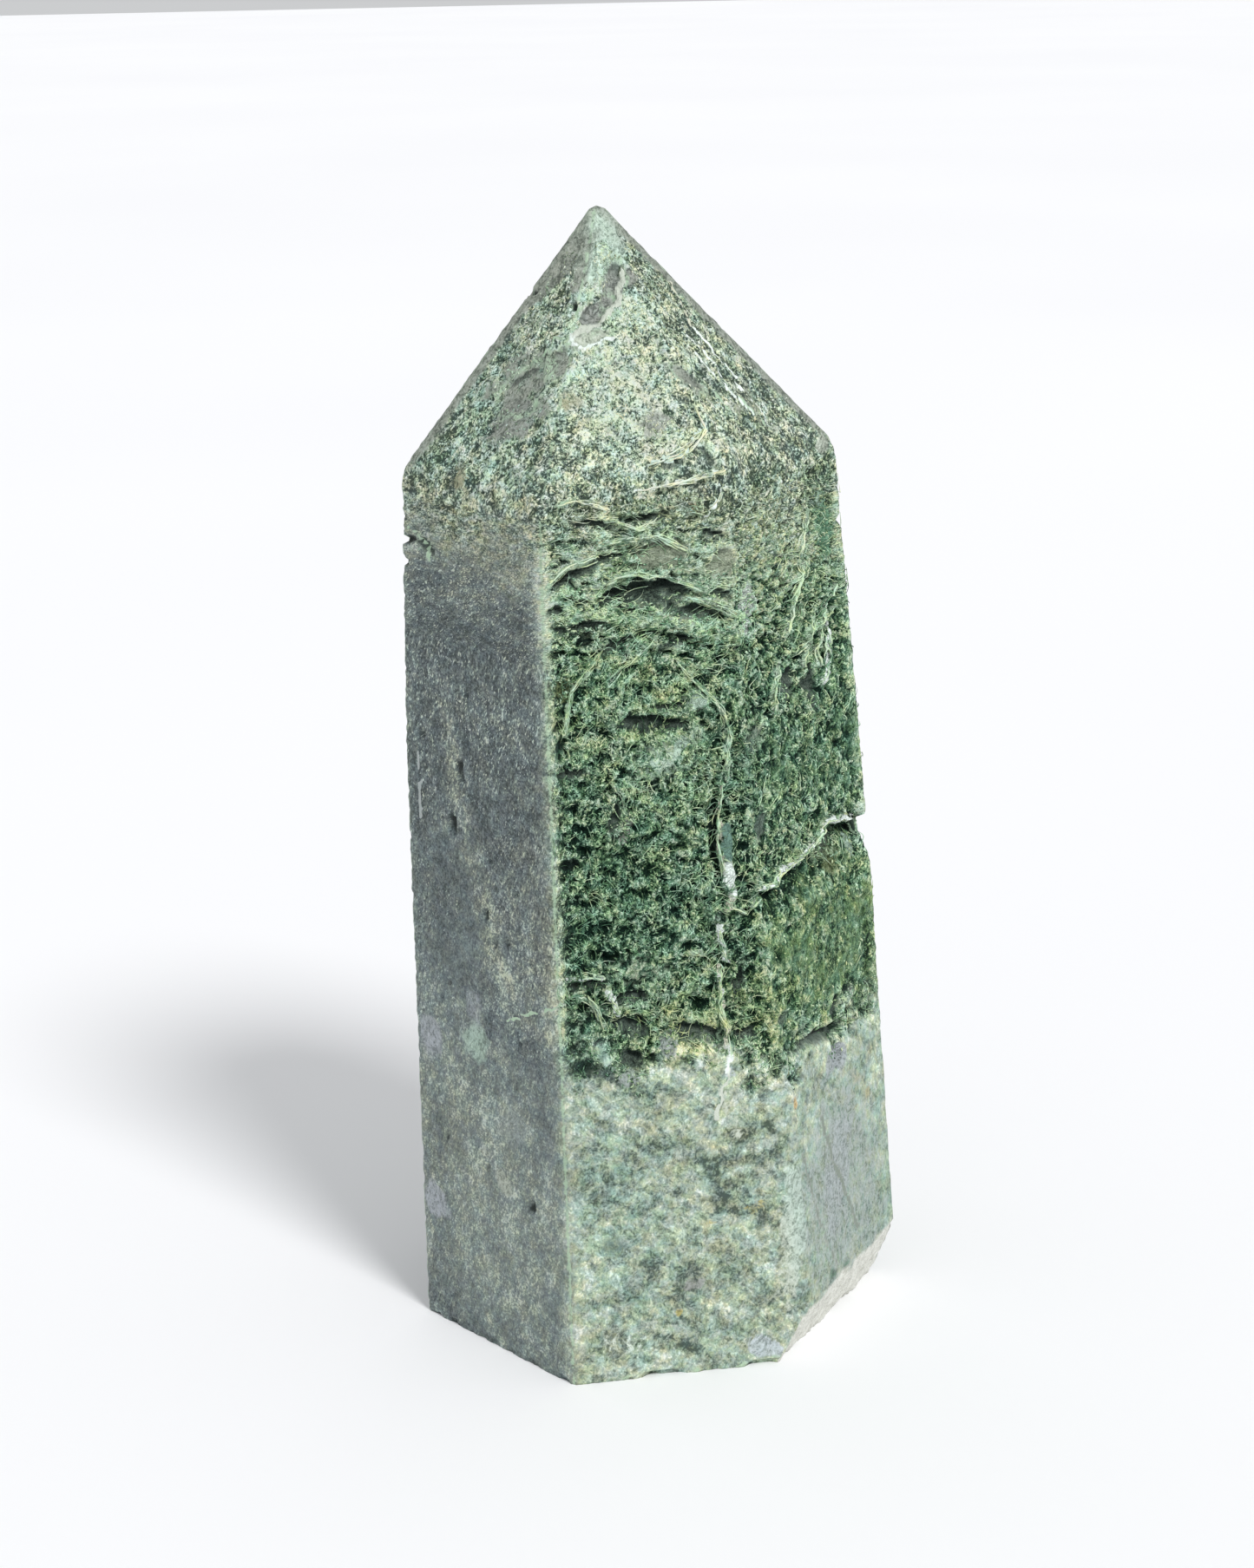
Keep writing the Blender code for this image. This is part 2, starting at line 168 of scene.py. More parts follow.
# Noises that push places about, with a shift for each direction
PUSHES = {
    "curl": (1.6, 2, (3.0, 61.0, 119.0)),
    "vein": (1.0, 3, (5.0, 71.0)),
}

# Zones: heights at which they end, how their borders fade, and how far the borders
# wander and are torn

MOSS_FOOT = ((-10.0, 24.4), (-6.5, 26.8), (4.0, 26.6), (8.0, 25.2))
MOSS_FOOT_FADE = (-2.2, 1.6)
MOSS_FOOT_WANDER = 1.8
MOSS_FOOT_TEAR = 1.7
MOSS_HEAD = 65.5
MOSS_HEAD_FADE = (7.0, -6.0)
MOSS_HEAD_WANDER = 4.0
POINT_FADE = (-4.0, 4.0)
POINT_WANDER = 2.0
SLATE_HEAD = 66.5
SLATE_HEAD_FADE = (3.8, -4.6)
SLATE_HEAD_WANDER = 2.4
SLATE_HEAD_TEAR = 1.6
# On the back the slate is fainter, and the moss grows in clouds
BACK_SLATE = 0.75
BACK_MOSS_FADE = (-0.5, 0.3)
BACK_MOSS_LEAST = 0.35
# Heights between which the pattern is drawn out in layers, and how much
SQUEEZED = (57.5, 68.0)
FOLD_SQUEEZE = 1.2
# Edges that kept their polish, and how that fades away from them
FLANKS = (
    ("tip_front_left", "tip_back_left"),
    ("tip_front_right", "tip_back_right"),
    ("front_right", "back_right"),
    ("front_right", "back_right_upper"),
)
FLANK_FADE = (1.5, 0.6)
# Share of each facet of the point that smooth plates may take
PLATES = {
    "tip_front_left": 0.62,
    "front_left": 0.5,
    "tip_front": 0.22,
    "tip_front_right": 0.6,
    "tip_back_right": 0.6,
    "tip_back": 0.6,
    "tip_back_left": 0.8,
}
PLATE_SQUASH = (1.0, 1.0, 1.3)
PLATE_FADE = (0.15, 0.36)
# How quiet the pattern is on the plates and along the polished edges
PLATE_CALM = 0.40
FLANK_CALM = 0.7
# How broad regions and patches of colour fade towards their edge, in half widths, and
# how ragged the edge is
REGION_FADE = (1.5, 0.3)
REGION_RAGGED = 0.3
PATCH_FADE = (1.25, 0.55)
PATCH_RAGGED = 0.30

# Relief, in millimetres: how deep each form wears the moss, the point, the slate and
# all the stone, and how the forms are squashed

MOSS_WORN = {"evenly": 0.05, "broad": 0.42, "felt": 0.75, "grit": 0.26}
POINT_WORN = {"felt": 0.30, "grit": 0.18, "pits": 0.35}
SLATE_GRIT = 0.02
ALL_GRIT = 0.04
GRIT_LEVEL = 0.6
BROAD_SQUASH = (1.0, 1.0, 1.6)
FELT_SQUASH = (1.0, 1.0, 1.35)
FELT_SIZE = 1.5
FELT_LAYERS = 3
FELT_AT_EDGE = 0.15
CURL_PUSH = 0.55
# Pits: size, shift, share of the places that have one, and depth
PITS = (
    (2.3, 0.0, 0.30, 0.6),
    (1.1, 55.0, 0.40, 0.38),
)
PIT_SQUASH = (0.8, 0.8, 1.5)
PIT_FADE = (0.50, 0.12)
SHALLOWEST_PIT = 0.4
NICK_SQUASH = (1.0, 1.0, 0.45)
NICK_SIZE = 0.9
NICK_SHARE = 0.07
NICK_FADE = (0.30, 0.10)
NICK_DEPTH = 0.22
# How much of the relief is lost where the stone is calm, polished or a plate
CALM_LOSS = 0.8
MOSS_FLANK_LOSS = 0.75
POINT_FLANK_LOSS = 0.85
PLATE_LOSS = 0.8
EDGE_ROOM = 0.9
# The relief's highest and deepest places, and how it ends towards the apex
PROUDEST = 0.02
DEEPEST = 1.9
APEX_ROOM = 2.5
APEX_LEAST = 0.15
# Ragged layers under the shoulder: face, heights and depth
FOLDS = (
    ("front", 57.0, 68.5, 0.68),
    ("front_right", 52.0, 62.0, 0.35),
    ("back", 55.0, 66.0, 0.40),
)
FOLD_START = (-2.0, 2.0)
FOLD_END = (2.0, -1.0)
FOLD_STEP = 1.35
FOLD_BEND = 0.9
FOLD_SLOPE = 0.04
FOLD_POWER = 2.2
FOLD_SQUASH = (0.6, 1.0, 1.4)
FOLD_STRENGTH = 0.45
FOLD_UNEVEN = 0.9
FOLD_ROOM = (0.3, 1.4)
# Nicks along the edges, fewer where the hidden right side is mossy, and the edge of the
# base
EDGE_WIDTH = 0.45
EDGE_WEAR = 0.05
EDGE_NICKS = 0.22
NICKS_FADE = (0.15, 0.75)
SIDE_FADE = (0.05, 0.3)
MOSSY_EDGE_LOSS = 0.7
BASE_EDGE = 0.9
BASE_WEAR = 0.06
BASE_NICKS = 0.30
BASE_NICKS_FADE = (0.0, 0.8)
# Hollows, in their own half widths: how ragged their outlines are, how deep they are, and
# how dark their painted shade is from the rim inwards and towards the upper lip
RAGGED = {"gap": 0.32, "open": 0.22, "pit": 0.32}
GAP_POWER = 0.45
GAP_UNDER_LIP = (-0.9, 0.5)
GAP_LEAST = 0.25
GAP_POCKET = (0.0, 0.25)
GAP_SHADE = (0.02, 0.25)
GAP_SHADE_LIP = (-0.1, 0.6)
GAP_LEAST_SHADE = 0.12
OPEN_FLOOR = (0.0, 0.55)
OPEN_SHADOW = 0.6
OPEN_SHADE = (0.0, 0.15)
OPEN_SHADE_LIP = (0.1, 0.7)
OPEN_LIT = (0.6, 0.3)
OPEN_CLEARED = 0.75
OPEN_BARE = (0.05, 0.4)
PIT_POWER = 0.5
PIT_SHADE = (0.1, 0.45)
RIM_SHARE = {"gap": 0.6, "open": 1.0}
RIM_PLACE = 1.12
RIM_WIDTH = 0.14
RIM_RISE = 0.05
# Veins: how far they wander, how they fade in their own half widths, how far they fill
# the relief, and the strength of those on the hidden faces, which are faint and broken
VEIN_WAVE = 0.28
VEIN_FADE = (1.5, 0.6)
VEIN_FILL = 0.5
HIDDEN_VEINS = 0.62
# The crack across the front right face: along, height and strength along its upper rim
CRACK_RIM = (
    (-6.1, 39.2, 0.20),
    (-4.7, 38.8, 0.55),
    (-3.1, 38.5, 0.85),
    (-2.7, 39.2, 0.90),
    (-1.2, 39.4, 1.00),
    (1.0, 39.6, 1.00),
    (3.8, 40.1, 1.00),
    (4.9, 40.8, 1.00),
    (5.6, 41.2, 1.00),
    (7.9, 40.7, 1.00),
    (9.5, 40.5, 0.95),
    (12.5, 40.4, 0.95),
)
CRACK_RAGGED = 0.16
CRACK_DEPTH = 0.95
CRACK_TOP = (0.0, 0.22)
CRACK_FOOT = (4.2, 0.3)
# The slit right under the rim: how deep it is, where it runs, and how dark and uneven its painted
# shade is
SLIT_DEPTH = 0.55
SLIT_TOP = (0.0, 0.15)
SLIT_FOOT = (0.75, 0.25)
SLIT_SHADE = 0.85
SLIT_UNEVEN = 0.35
# What the material and the strands read from the mesh: how far the relief is blurred to
# tell what is sunk, the depth that counts as fully sunk, and how deep a pit with painted shade is
DEPTH_BLUR = 14
DEPTH_SPAN = 0.30
PIT_DEPTHS = (0.55, 1.4)
# Where strands lie: clear of the edges, of the painted shade and of veins, and crumbs not
# in what is sunk
STRAND_EDGE = (0.3, 0.9)
THREAD_SHADE = (0.7, 0.3)
THREAD_VEIN = (0.8, 0.3)
CRUMB_SHADE = (0.4, 0.1)
CRUMB_VEIN = (0.3, 0.1)
CRUMB_SUNK = (0.4, 0.0)

# Hollows and pits on each face: along, height, half width, half height, depth, turn,
# kind. A gap is cut back under its upper lip, an open hollow has a smooth floor and a
# pale rim, and a pit is small. Each has painted shade in it, darkest under the lip.

HOLLOWS = {
    "front": (
        (-2.6, 62.0, 3.7, 1.5, 1.3, 4, "gap"),
        (1.2, 60.6, 2.0, 0.8, 0.9, -10, "gap"),
        (-8.0, 63.8, 2.4, 0.5, 0.8, 22, "gap"),
        (-5.6, 65.0, 1.6, 0.4, 0.6, 8, "gap"),
        (-1.4, 65.1, 2.4, 1.2, 0.6, 8, "open"),
        (3.6, 64.2, 1.8, 1.2, 0.6, 0, "open"),
        (-7.0, 60.0, 1.9, 0.6, 0.6, 5, "gap"),
        (-4.6, 58.6, 1.5, 0.5, 0.5, 16, "gap"),
        (3.3, 61.9, 1.2, 0.4, 0.5, -14, "gap"),
        (-7.2, 59.0, 0.8, 0.7, 0.5, 0, "pit"),
        (-6.6, 67.6, 1.6, 0.5, 0.8, -6, "gap"),
        (-2.2, 67.9, 1.8, 0.45, 0.7, 10, "gap"),
        (2.6, 66.4, 1.4, 0.4, 0.6, -12, "gap"),
        (5.6, 62.9, 1.2, 0.4, 0.6, -20, "gap"),
        (-9.4, 61.4, 0.9, 0.4, 0.6, 10, "gap"),
        (-0.4, 58.4, 1.3, 0.35, 0.6, 12, "gap"),
        (4.6, 57.6, 1.1, 0.4, 0.6, -10, "gap"),
        (-8.4, 49.0, 1.6, 0.35, 0.6, 4, "gap"),
        (-2.2, 52.3, 2.7, 0.8, 1.0, -8, "gap"),
        (-1.0, 53.6, 1.4, 0.4, 0.6, -4, "gap"),
        (1.1, 53.9, 0.8, 0.8, 0.4, -20, "open"),
        (-1.4, 49.9, 2.2, 1.3, 0.25, 12, "open"),
        (2.3, 43.6, 0.52, 3.5, 1.0, 1, "pit"),
        (-7.9, 32.5, 1.8, 0.5, 0.6, -3, "gap"),
        (-3.7, 33.3, 1.8, 1.1, 0.45, 6, "open"),
        (-4.2, 31.2, 1.2, 0.6, 0.8, -4, "gap"),
        (-4.6, 28.9, 1.6, 1.0, 0.9, -24, "gap"),
        (-4.7, 26.3, 1.0, 0.8, 0.7, -30, "gap"),
        (0.4, 28.0, 1.7, 0.9, 0.8, -8, "gap"),
        (4.3, 27.5, 0.9, 0.6, 0.7, 0, "gap"),
        (3.9, 31.5, 0.45, 1.6, 0.7, -14, "gap"),
        (-7.2, 28.5, 1.5, 1.7, 0.35, 0, "open"),
        (-8.8, 42.0, 1.2, 0.6, 0.5, 0, "pit"),
        (-5.4, 45.0, 0.5, 1.3, 0.4, -14, "gap"),
        (-3.0, 0.1, 2.4, 0.5, 0.4, 0, "open"),
        (5.0, 0.1, 1.6, 0.4, 0.4, 0, "open"),
    ),
    "front_left": (
        (-11.2, 64.7, 1.5, 0.4, 0.7, 8, "pit"),
        (-11.6, 62.9, 0.8, 0.4, 0.6, 0, "pit"),
        (-8.7, 64.5, 1.2, 0.5, 0.8, -25, "gap"),
        (-5.2, 47.6, 0.4, 1.0, 0.7, 12, "pit"),
        (-6.2, 43.1, 0.4, 1.0, 0.7, 14, "pit"),
        (-2.4, 36.5, 0.3, 0.5, 0.4, 14, "pit"),
        (2.3, 13.5, 0.35, 0.6, 0.5, -20, "pit"),
        (5.6, 62.0, 0.7, 1.4, 0.3, 10, "open"),
    ),
    "front_right": (
        (5.5, 52.5, 0.9, 2.2, 0.9, 0, "gap"),
        (1.8, 53.6, 1.1, 1.5, 0.6, 10, "gap"),
        (3.9, 56.9, 0.5, 1.8, 0.5, -30, "open"),
        (1.8, 25.0, 3.2, 0.6, 1.0, -6, "gap"),
        (4.7, 26.4, 0.6, 1.3, 0.7, -24, "gap"),
        (-3.8, 28.3, 0.9, 0.5, 0.5, 10, "gap"),
        (-4.4, 50.4, 2.2, 1.0, 0.5, 30, "open"),
        (-4.4, 43.9, 1.2, 1.1, 0.4, 26, "open"),
        (6.4, 39.9, 1.7, 1.2, 0.6, 14, "gap"),
        (10.6, 40.0, 1.5, 1.0, 1.1, -24, "pit"),
        (11.3, 64.5, 0.8, 0.5, 0.4, 0, "pit"),
    ),
    "tip_front": (
        (0.8, 83.8, 0.9, 1.7, 0.6, -14, "open"),
        (-0.7, 82.1, 1.7, 0.85, 0.6, 36, "open"),
        (-1.3, 80.4, 1.8, 0.6, 0.5, 16, "open"),
        (-2.4, 82.7, 0.4, 0.4, 0.7, 0, "pit"),
        (4.3, 71.9, 1.0, 0.5, 0.5, 20, "gap"),
    ),
    "tip_front_left": (
        (3.0, 78.7, 1.2, 1.1, 0.5, 20, "open"),
        (0.5, 76.6, 2.2, 1.6, 0.3, 30, "open"),
        (-2.7, 83.1, 0.9, 0.3, 0.5, 20, "pit"),
    ),
    "tip_front_right": (
        (-5.7, 72.3, 1.0, 0.9, 0.5, -50, "gap"),
        (-2.2, 77.3, 1.4, 0.7, 0.4, -30, "open"),
    ),
    "back": (
        (-4.0, 59.0, 3.0, 1.3, 1.0, -12, "gap"),
        (3.0, 48.0, 2.1, 1.0, 0.8, 16, "open"),
        (-1.0, 35.0, 3.6, 0.9, 0.8, 6, "gap"),
        (4.5, 22.0, 1.6, 1.2, 0.8, 0, "open"),
    ),
    "back_right": (
        (-3.0, 23.0, 3.0, 1.2, 0.9, 10, "gap"),
    ),
    "back_right_upper": (
        (2.0, 56.0, 2.6, 1.4, 0.9, -8, "gap"),
        (-4.5, 61.0, 1.4, 0.7, 0.7, 24, "gap"),
        (1.0, 43.5, 0.5, 3.0, 0.8, 8, "pit"),
    ),
    "back_left": (
        (2.0, 30.0, 2.4, 1.0, 0.8, -14, "gap"),
        (-4.0, 18.0, 1.2, 0.7, 0.6, 12, "gap"),
    ),
    "back_left_upper": (
        (-1.0, 57.0, 2.6, 1.2, 0.9, 8, "gap"),
    ),
    "tip_back": (
        (1.0, 78.0, 1.8, 0.9, 0.6, 10, "open"),
    ),
}

# Veins on each face: colour, half width, how far they stand out, and places along them

VEINS = {
    "front": (
        ("pale_moss", 0.09, 0.06, (
            (-0.3, 56.9), (0.7, 55.8), (2.9, 53.5), (3.6, 51.1), (3.4, 49.3), (2.9, 47.4))),
        ("cream", 0.10, 0.06, ((2.9, 47.4), (2.7, 44.8), (2.6, 42.0), (2.8, 40.4))),
        ("teal", 0.36, 0.0, ((3.15, 44.0), (3.3, 41.4))),
        ("white", 0.42, 0.0, ((3.2, 40.9), (3.55, 39.0))),
        ("cream", 0.30, 0.12, ((3.4, 38.6), (3.3, 37.7))),
        ("white", 0.18, 0.14, ((2.5, 36.4), (2.7, 35.0), (3.0, 33.7))),
        ("cream", 0.17, 0.10, (
            (2.5, 33.4), (2.5, 32.4), (2.45, 30.0), (2.6, 28.9), (3.0, 28.2), (2.9, 26.4),
            (3.0, 24.8))),
        ("white", 0.16, 0.08, ((2.9, 26.8), (3.0, 25.6), (2.8, 24.4))),
        ("white", 0.18, 0.12, ((2.4, 32.6), (2.6, 31.2))),
        ("pale_moss", 0.12, 0.10, ((3.2, 38.0), (4.6, 37.2), (5.4, 38.2))),
        ("pale_moss", 0.12, 0.10, ((2.6, 35.4), (1.2, 34.2), (0.2, 34.6))),
        ("chalk", 0.14, 0.02, ((2.9, 24.8), (2.2, 22.9), (1.8, 21.0))),
        ("white", 0.15, 0.12, ((-9.2, 33.15), (-7.9, 33.2), (-6.6, 33.0))),
        ("white", 0.30, 0.16, ((-6.25, 31.9), (-5.5, 30.0))),
        ("pale_moss", 0.14, 0.12, (
            (-10.1, 31.4), (-8.9, 31.8), (-8.0, 31.6), (-7.1, 30.6), (-6.7, 29.2))),
        ("pale_moss", 0.20, 0.10, ((-10.0, 63.2), (-8.4, 64.6), (-6.4, 65.2))),
        ("pale_moss", 0.14, 0.10, ((-6.4, 62.9), (-4.0, 63.8), (-1.0, 63.4), (2.0, 62.2))),
        ("white", 0.12, 0.10, ((2.0, 67.9), (3.0, 68.9), (3.3, 69.8))),
        ("pale_moss", 0.14, 0.10, ((-9.2, 69.1), (-7.4, 69.5), (-5.3, 68.7))),
        ("pale_moss", 0.14, 0.10, ((-5.4, 68.0), (-3.1, 67.1), (-1.5, 67.7))),
        ("pale_moss", 0.12, 0.10, ((-6.1, 65.9), (-4.2, 66.4), (-1.6, 66.6), (0.6, 65.4))),
        ("pale_moss", 0.12, 0.10, ((0.3, 61.9), (2.9, 61.0), (4.3, 60.2))),
        ("pale_moss", 0.10, 0.10, ((-5.6, 58.7), (-8.3, 55.3), (-9.1, 52.0))),
        ("pale_moss", 0.10, 0.10, ((-1.7, 59.1), (-5.7, 55.7))),
    ),
    "front_left": (
        ("pale_moss", 0.10, 0.0, ((-0.4, 28.5), (3.6, 30.2), (6.1, 31.2), (9.5, 31.6))),
        ("grey", 0.14, 0.03, ((-10.4, 47.8), (-10.1, 45.5), (-10.3, 42.8))),
        ("pale_moss", 0.16, 0.05, ((-10.6, 65.6), (-9.2, 65.2), (-8.0, 63.6))),
    ),
    "front_right": (
        ("streak", 0.24, 0.0, ((0.3, 18.6), (1.4, 15.2), (3.3, 11.1), (5.0, 7.4))),
        ("streak", 0.16, 0.0, ((-3.2, 16.9), (-1.8, 12.0), (0.9, 5.7))),
        ("white", 0.19, 0.16, (
            (-5.6, 39.2), (-4.7, 39.0), (-3.1, 38.75), (-2.7, 39.45), (-1.2, 39.65), (1.0, 39.85),
            (3.8, 40.35), (4.9, 41.05), (5.6, 41.45), (7.9, 41.0), (9.5, 40.8), (10.4, 40.7))),
        ("pale_moss", 0.18, 0.10, (
            (6.3, 66.0), (6.1, 65.2), (4.0, 62.8), (4.4, 61.3), (2.1, 60.6))),
        ("pale_moss", 0.14, 0.08, (
            (10.3, 59.4), (8.2, 58.2), (7.0, 57.0), (6.9, 55.3), (6.5, 53.7))),
        ("pale_moss", 0.20, 0.12, ((6.0, 57.6), (4.8, 55.9), (2.8, 55.4))),
        ("pale_moss", 0.14, 0.12, ((0.3, 55.6), (-0.9, 53.5), (-1.2, 51.8))),
        ("white", 0.22, 0.12, ((8.0, 56.9), (8.3, 54.1), (7.0, 52.4))),
        ("pale_moss", 0.20, 0.12, ((5.2, 57.2), (4.1, 54.4))),
        ("pale_moss", 0.16, 0.12, ((10.0, 57.8), (8.1, 57.5), (5.8, 56.7))),
        ("pale_moss", 0.14, 0.10, ((5.0, 62.0), (3.5, 59.9), (1.6, 56.9))),
    ),
    "tip_front": (
        ("chalk", 0.22, 0.0, ((1.5, 84.8), (1.4, 83.8), (1.0, 82.5), (-0.5, 81.2),
            (-2.4, 80.8))),
        ("white", 0.18, 0.0, ((-2.7, 80.7), (-2.3, 79.9), (-1.6, 79.6), (0.4, 80.3))),
        ("pale_mint", 0.14, 0.08, ((8.2, 75.6), (6.8, 74.0), (5.9, 73.2), (5.0, 72.5),
            (3.7, 72.0), (2.4, 71.7))),
        ("white", 0.12, 0.10, ((1.4, 70.0), (3.8, 70.4), (5.7, 70.7), (8.7, 71.2))),
    ),
    "tip_front_left": (
        ("pale_moss", 0.12, 0.08, ((1.0, 79.0), (1.8, 80.2), (3.6, 80.0))),
    ),
    "tip_front_right": (
        ("white", 0.10, 0.0, ((0.9, 79.9), (2.2, 77.0))),
        ("white", 0.12, 0.0, ((2.3, 80.2), (3.8, 76.6))),
        ("white", 0.10, 0.0, ((0.3, 79.0), (1.0, 77.0))),
        ("white", 0.12, 0.0, ((1.5, 76.4), (3.0, 73.9))),
        ("white", 0.10, 0.0, ((3.0, 76.6), (4.4, 73.5))),
        ("pale_moss", 0.12, 0.0, ((2.4, 75.4), (3.9, 72.7))),
        ("pale_moss", 0.12, 0.0, ((-0.3, 76.1), (0.4, 74.1))),
        ("cream", 0.12, 0.06, ((2.7, 83.4), (2.1, 80.8))),
    ),
    "back": (
        ("pale_moss", 0.34, 0.10, ((-6.0, 64.0), (-2.0, 61.0), (3.0, 62.5), (7.5, 60.0))),
        ("chalk", 0.30, 0.06, ((1.0, 46.0), (0.2, 38.0), (1.2, 27.0), (0.6, 14.0))),
        ("grey", 0.30, 0.04, ((-7.0, 22.0), (-2.0, 19.5), (4.0, 20.5))),
    ),
    "back_right": (
        ("pale_moss", 0.28, 0.06, ((-6.0, 30.0), (-1.0, 33.5), (6.0, 31.0))),
    ),
    "back_right_upper": (
        ("pale_moss", 0.38, 0.10, ((-6.0, 52.0), (-1.0, 50.0), (5.0, 53.5))),
    ),
    "back_left": (
        ("grey", 0.36, 0.0, ((-8.0, 31.5), (-3.0, 33.0), (2.0, 27.0), (7.0, 25.0))),
    ),
    "back_left_upper": (
        ("pale_moss", 0.40, 0.05, ((-6.0, 60.0), (0.0, 62.0), (6.0, 59.0))),
    ),
}

# Patches of colour on each face: along, height, half width, half height, turn, colour
# and strength

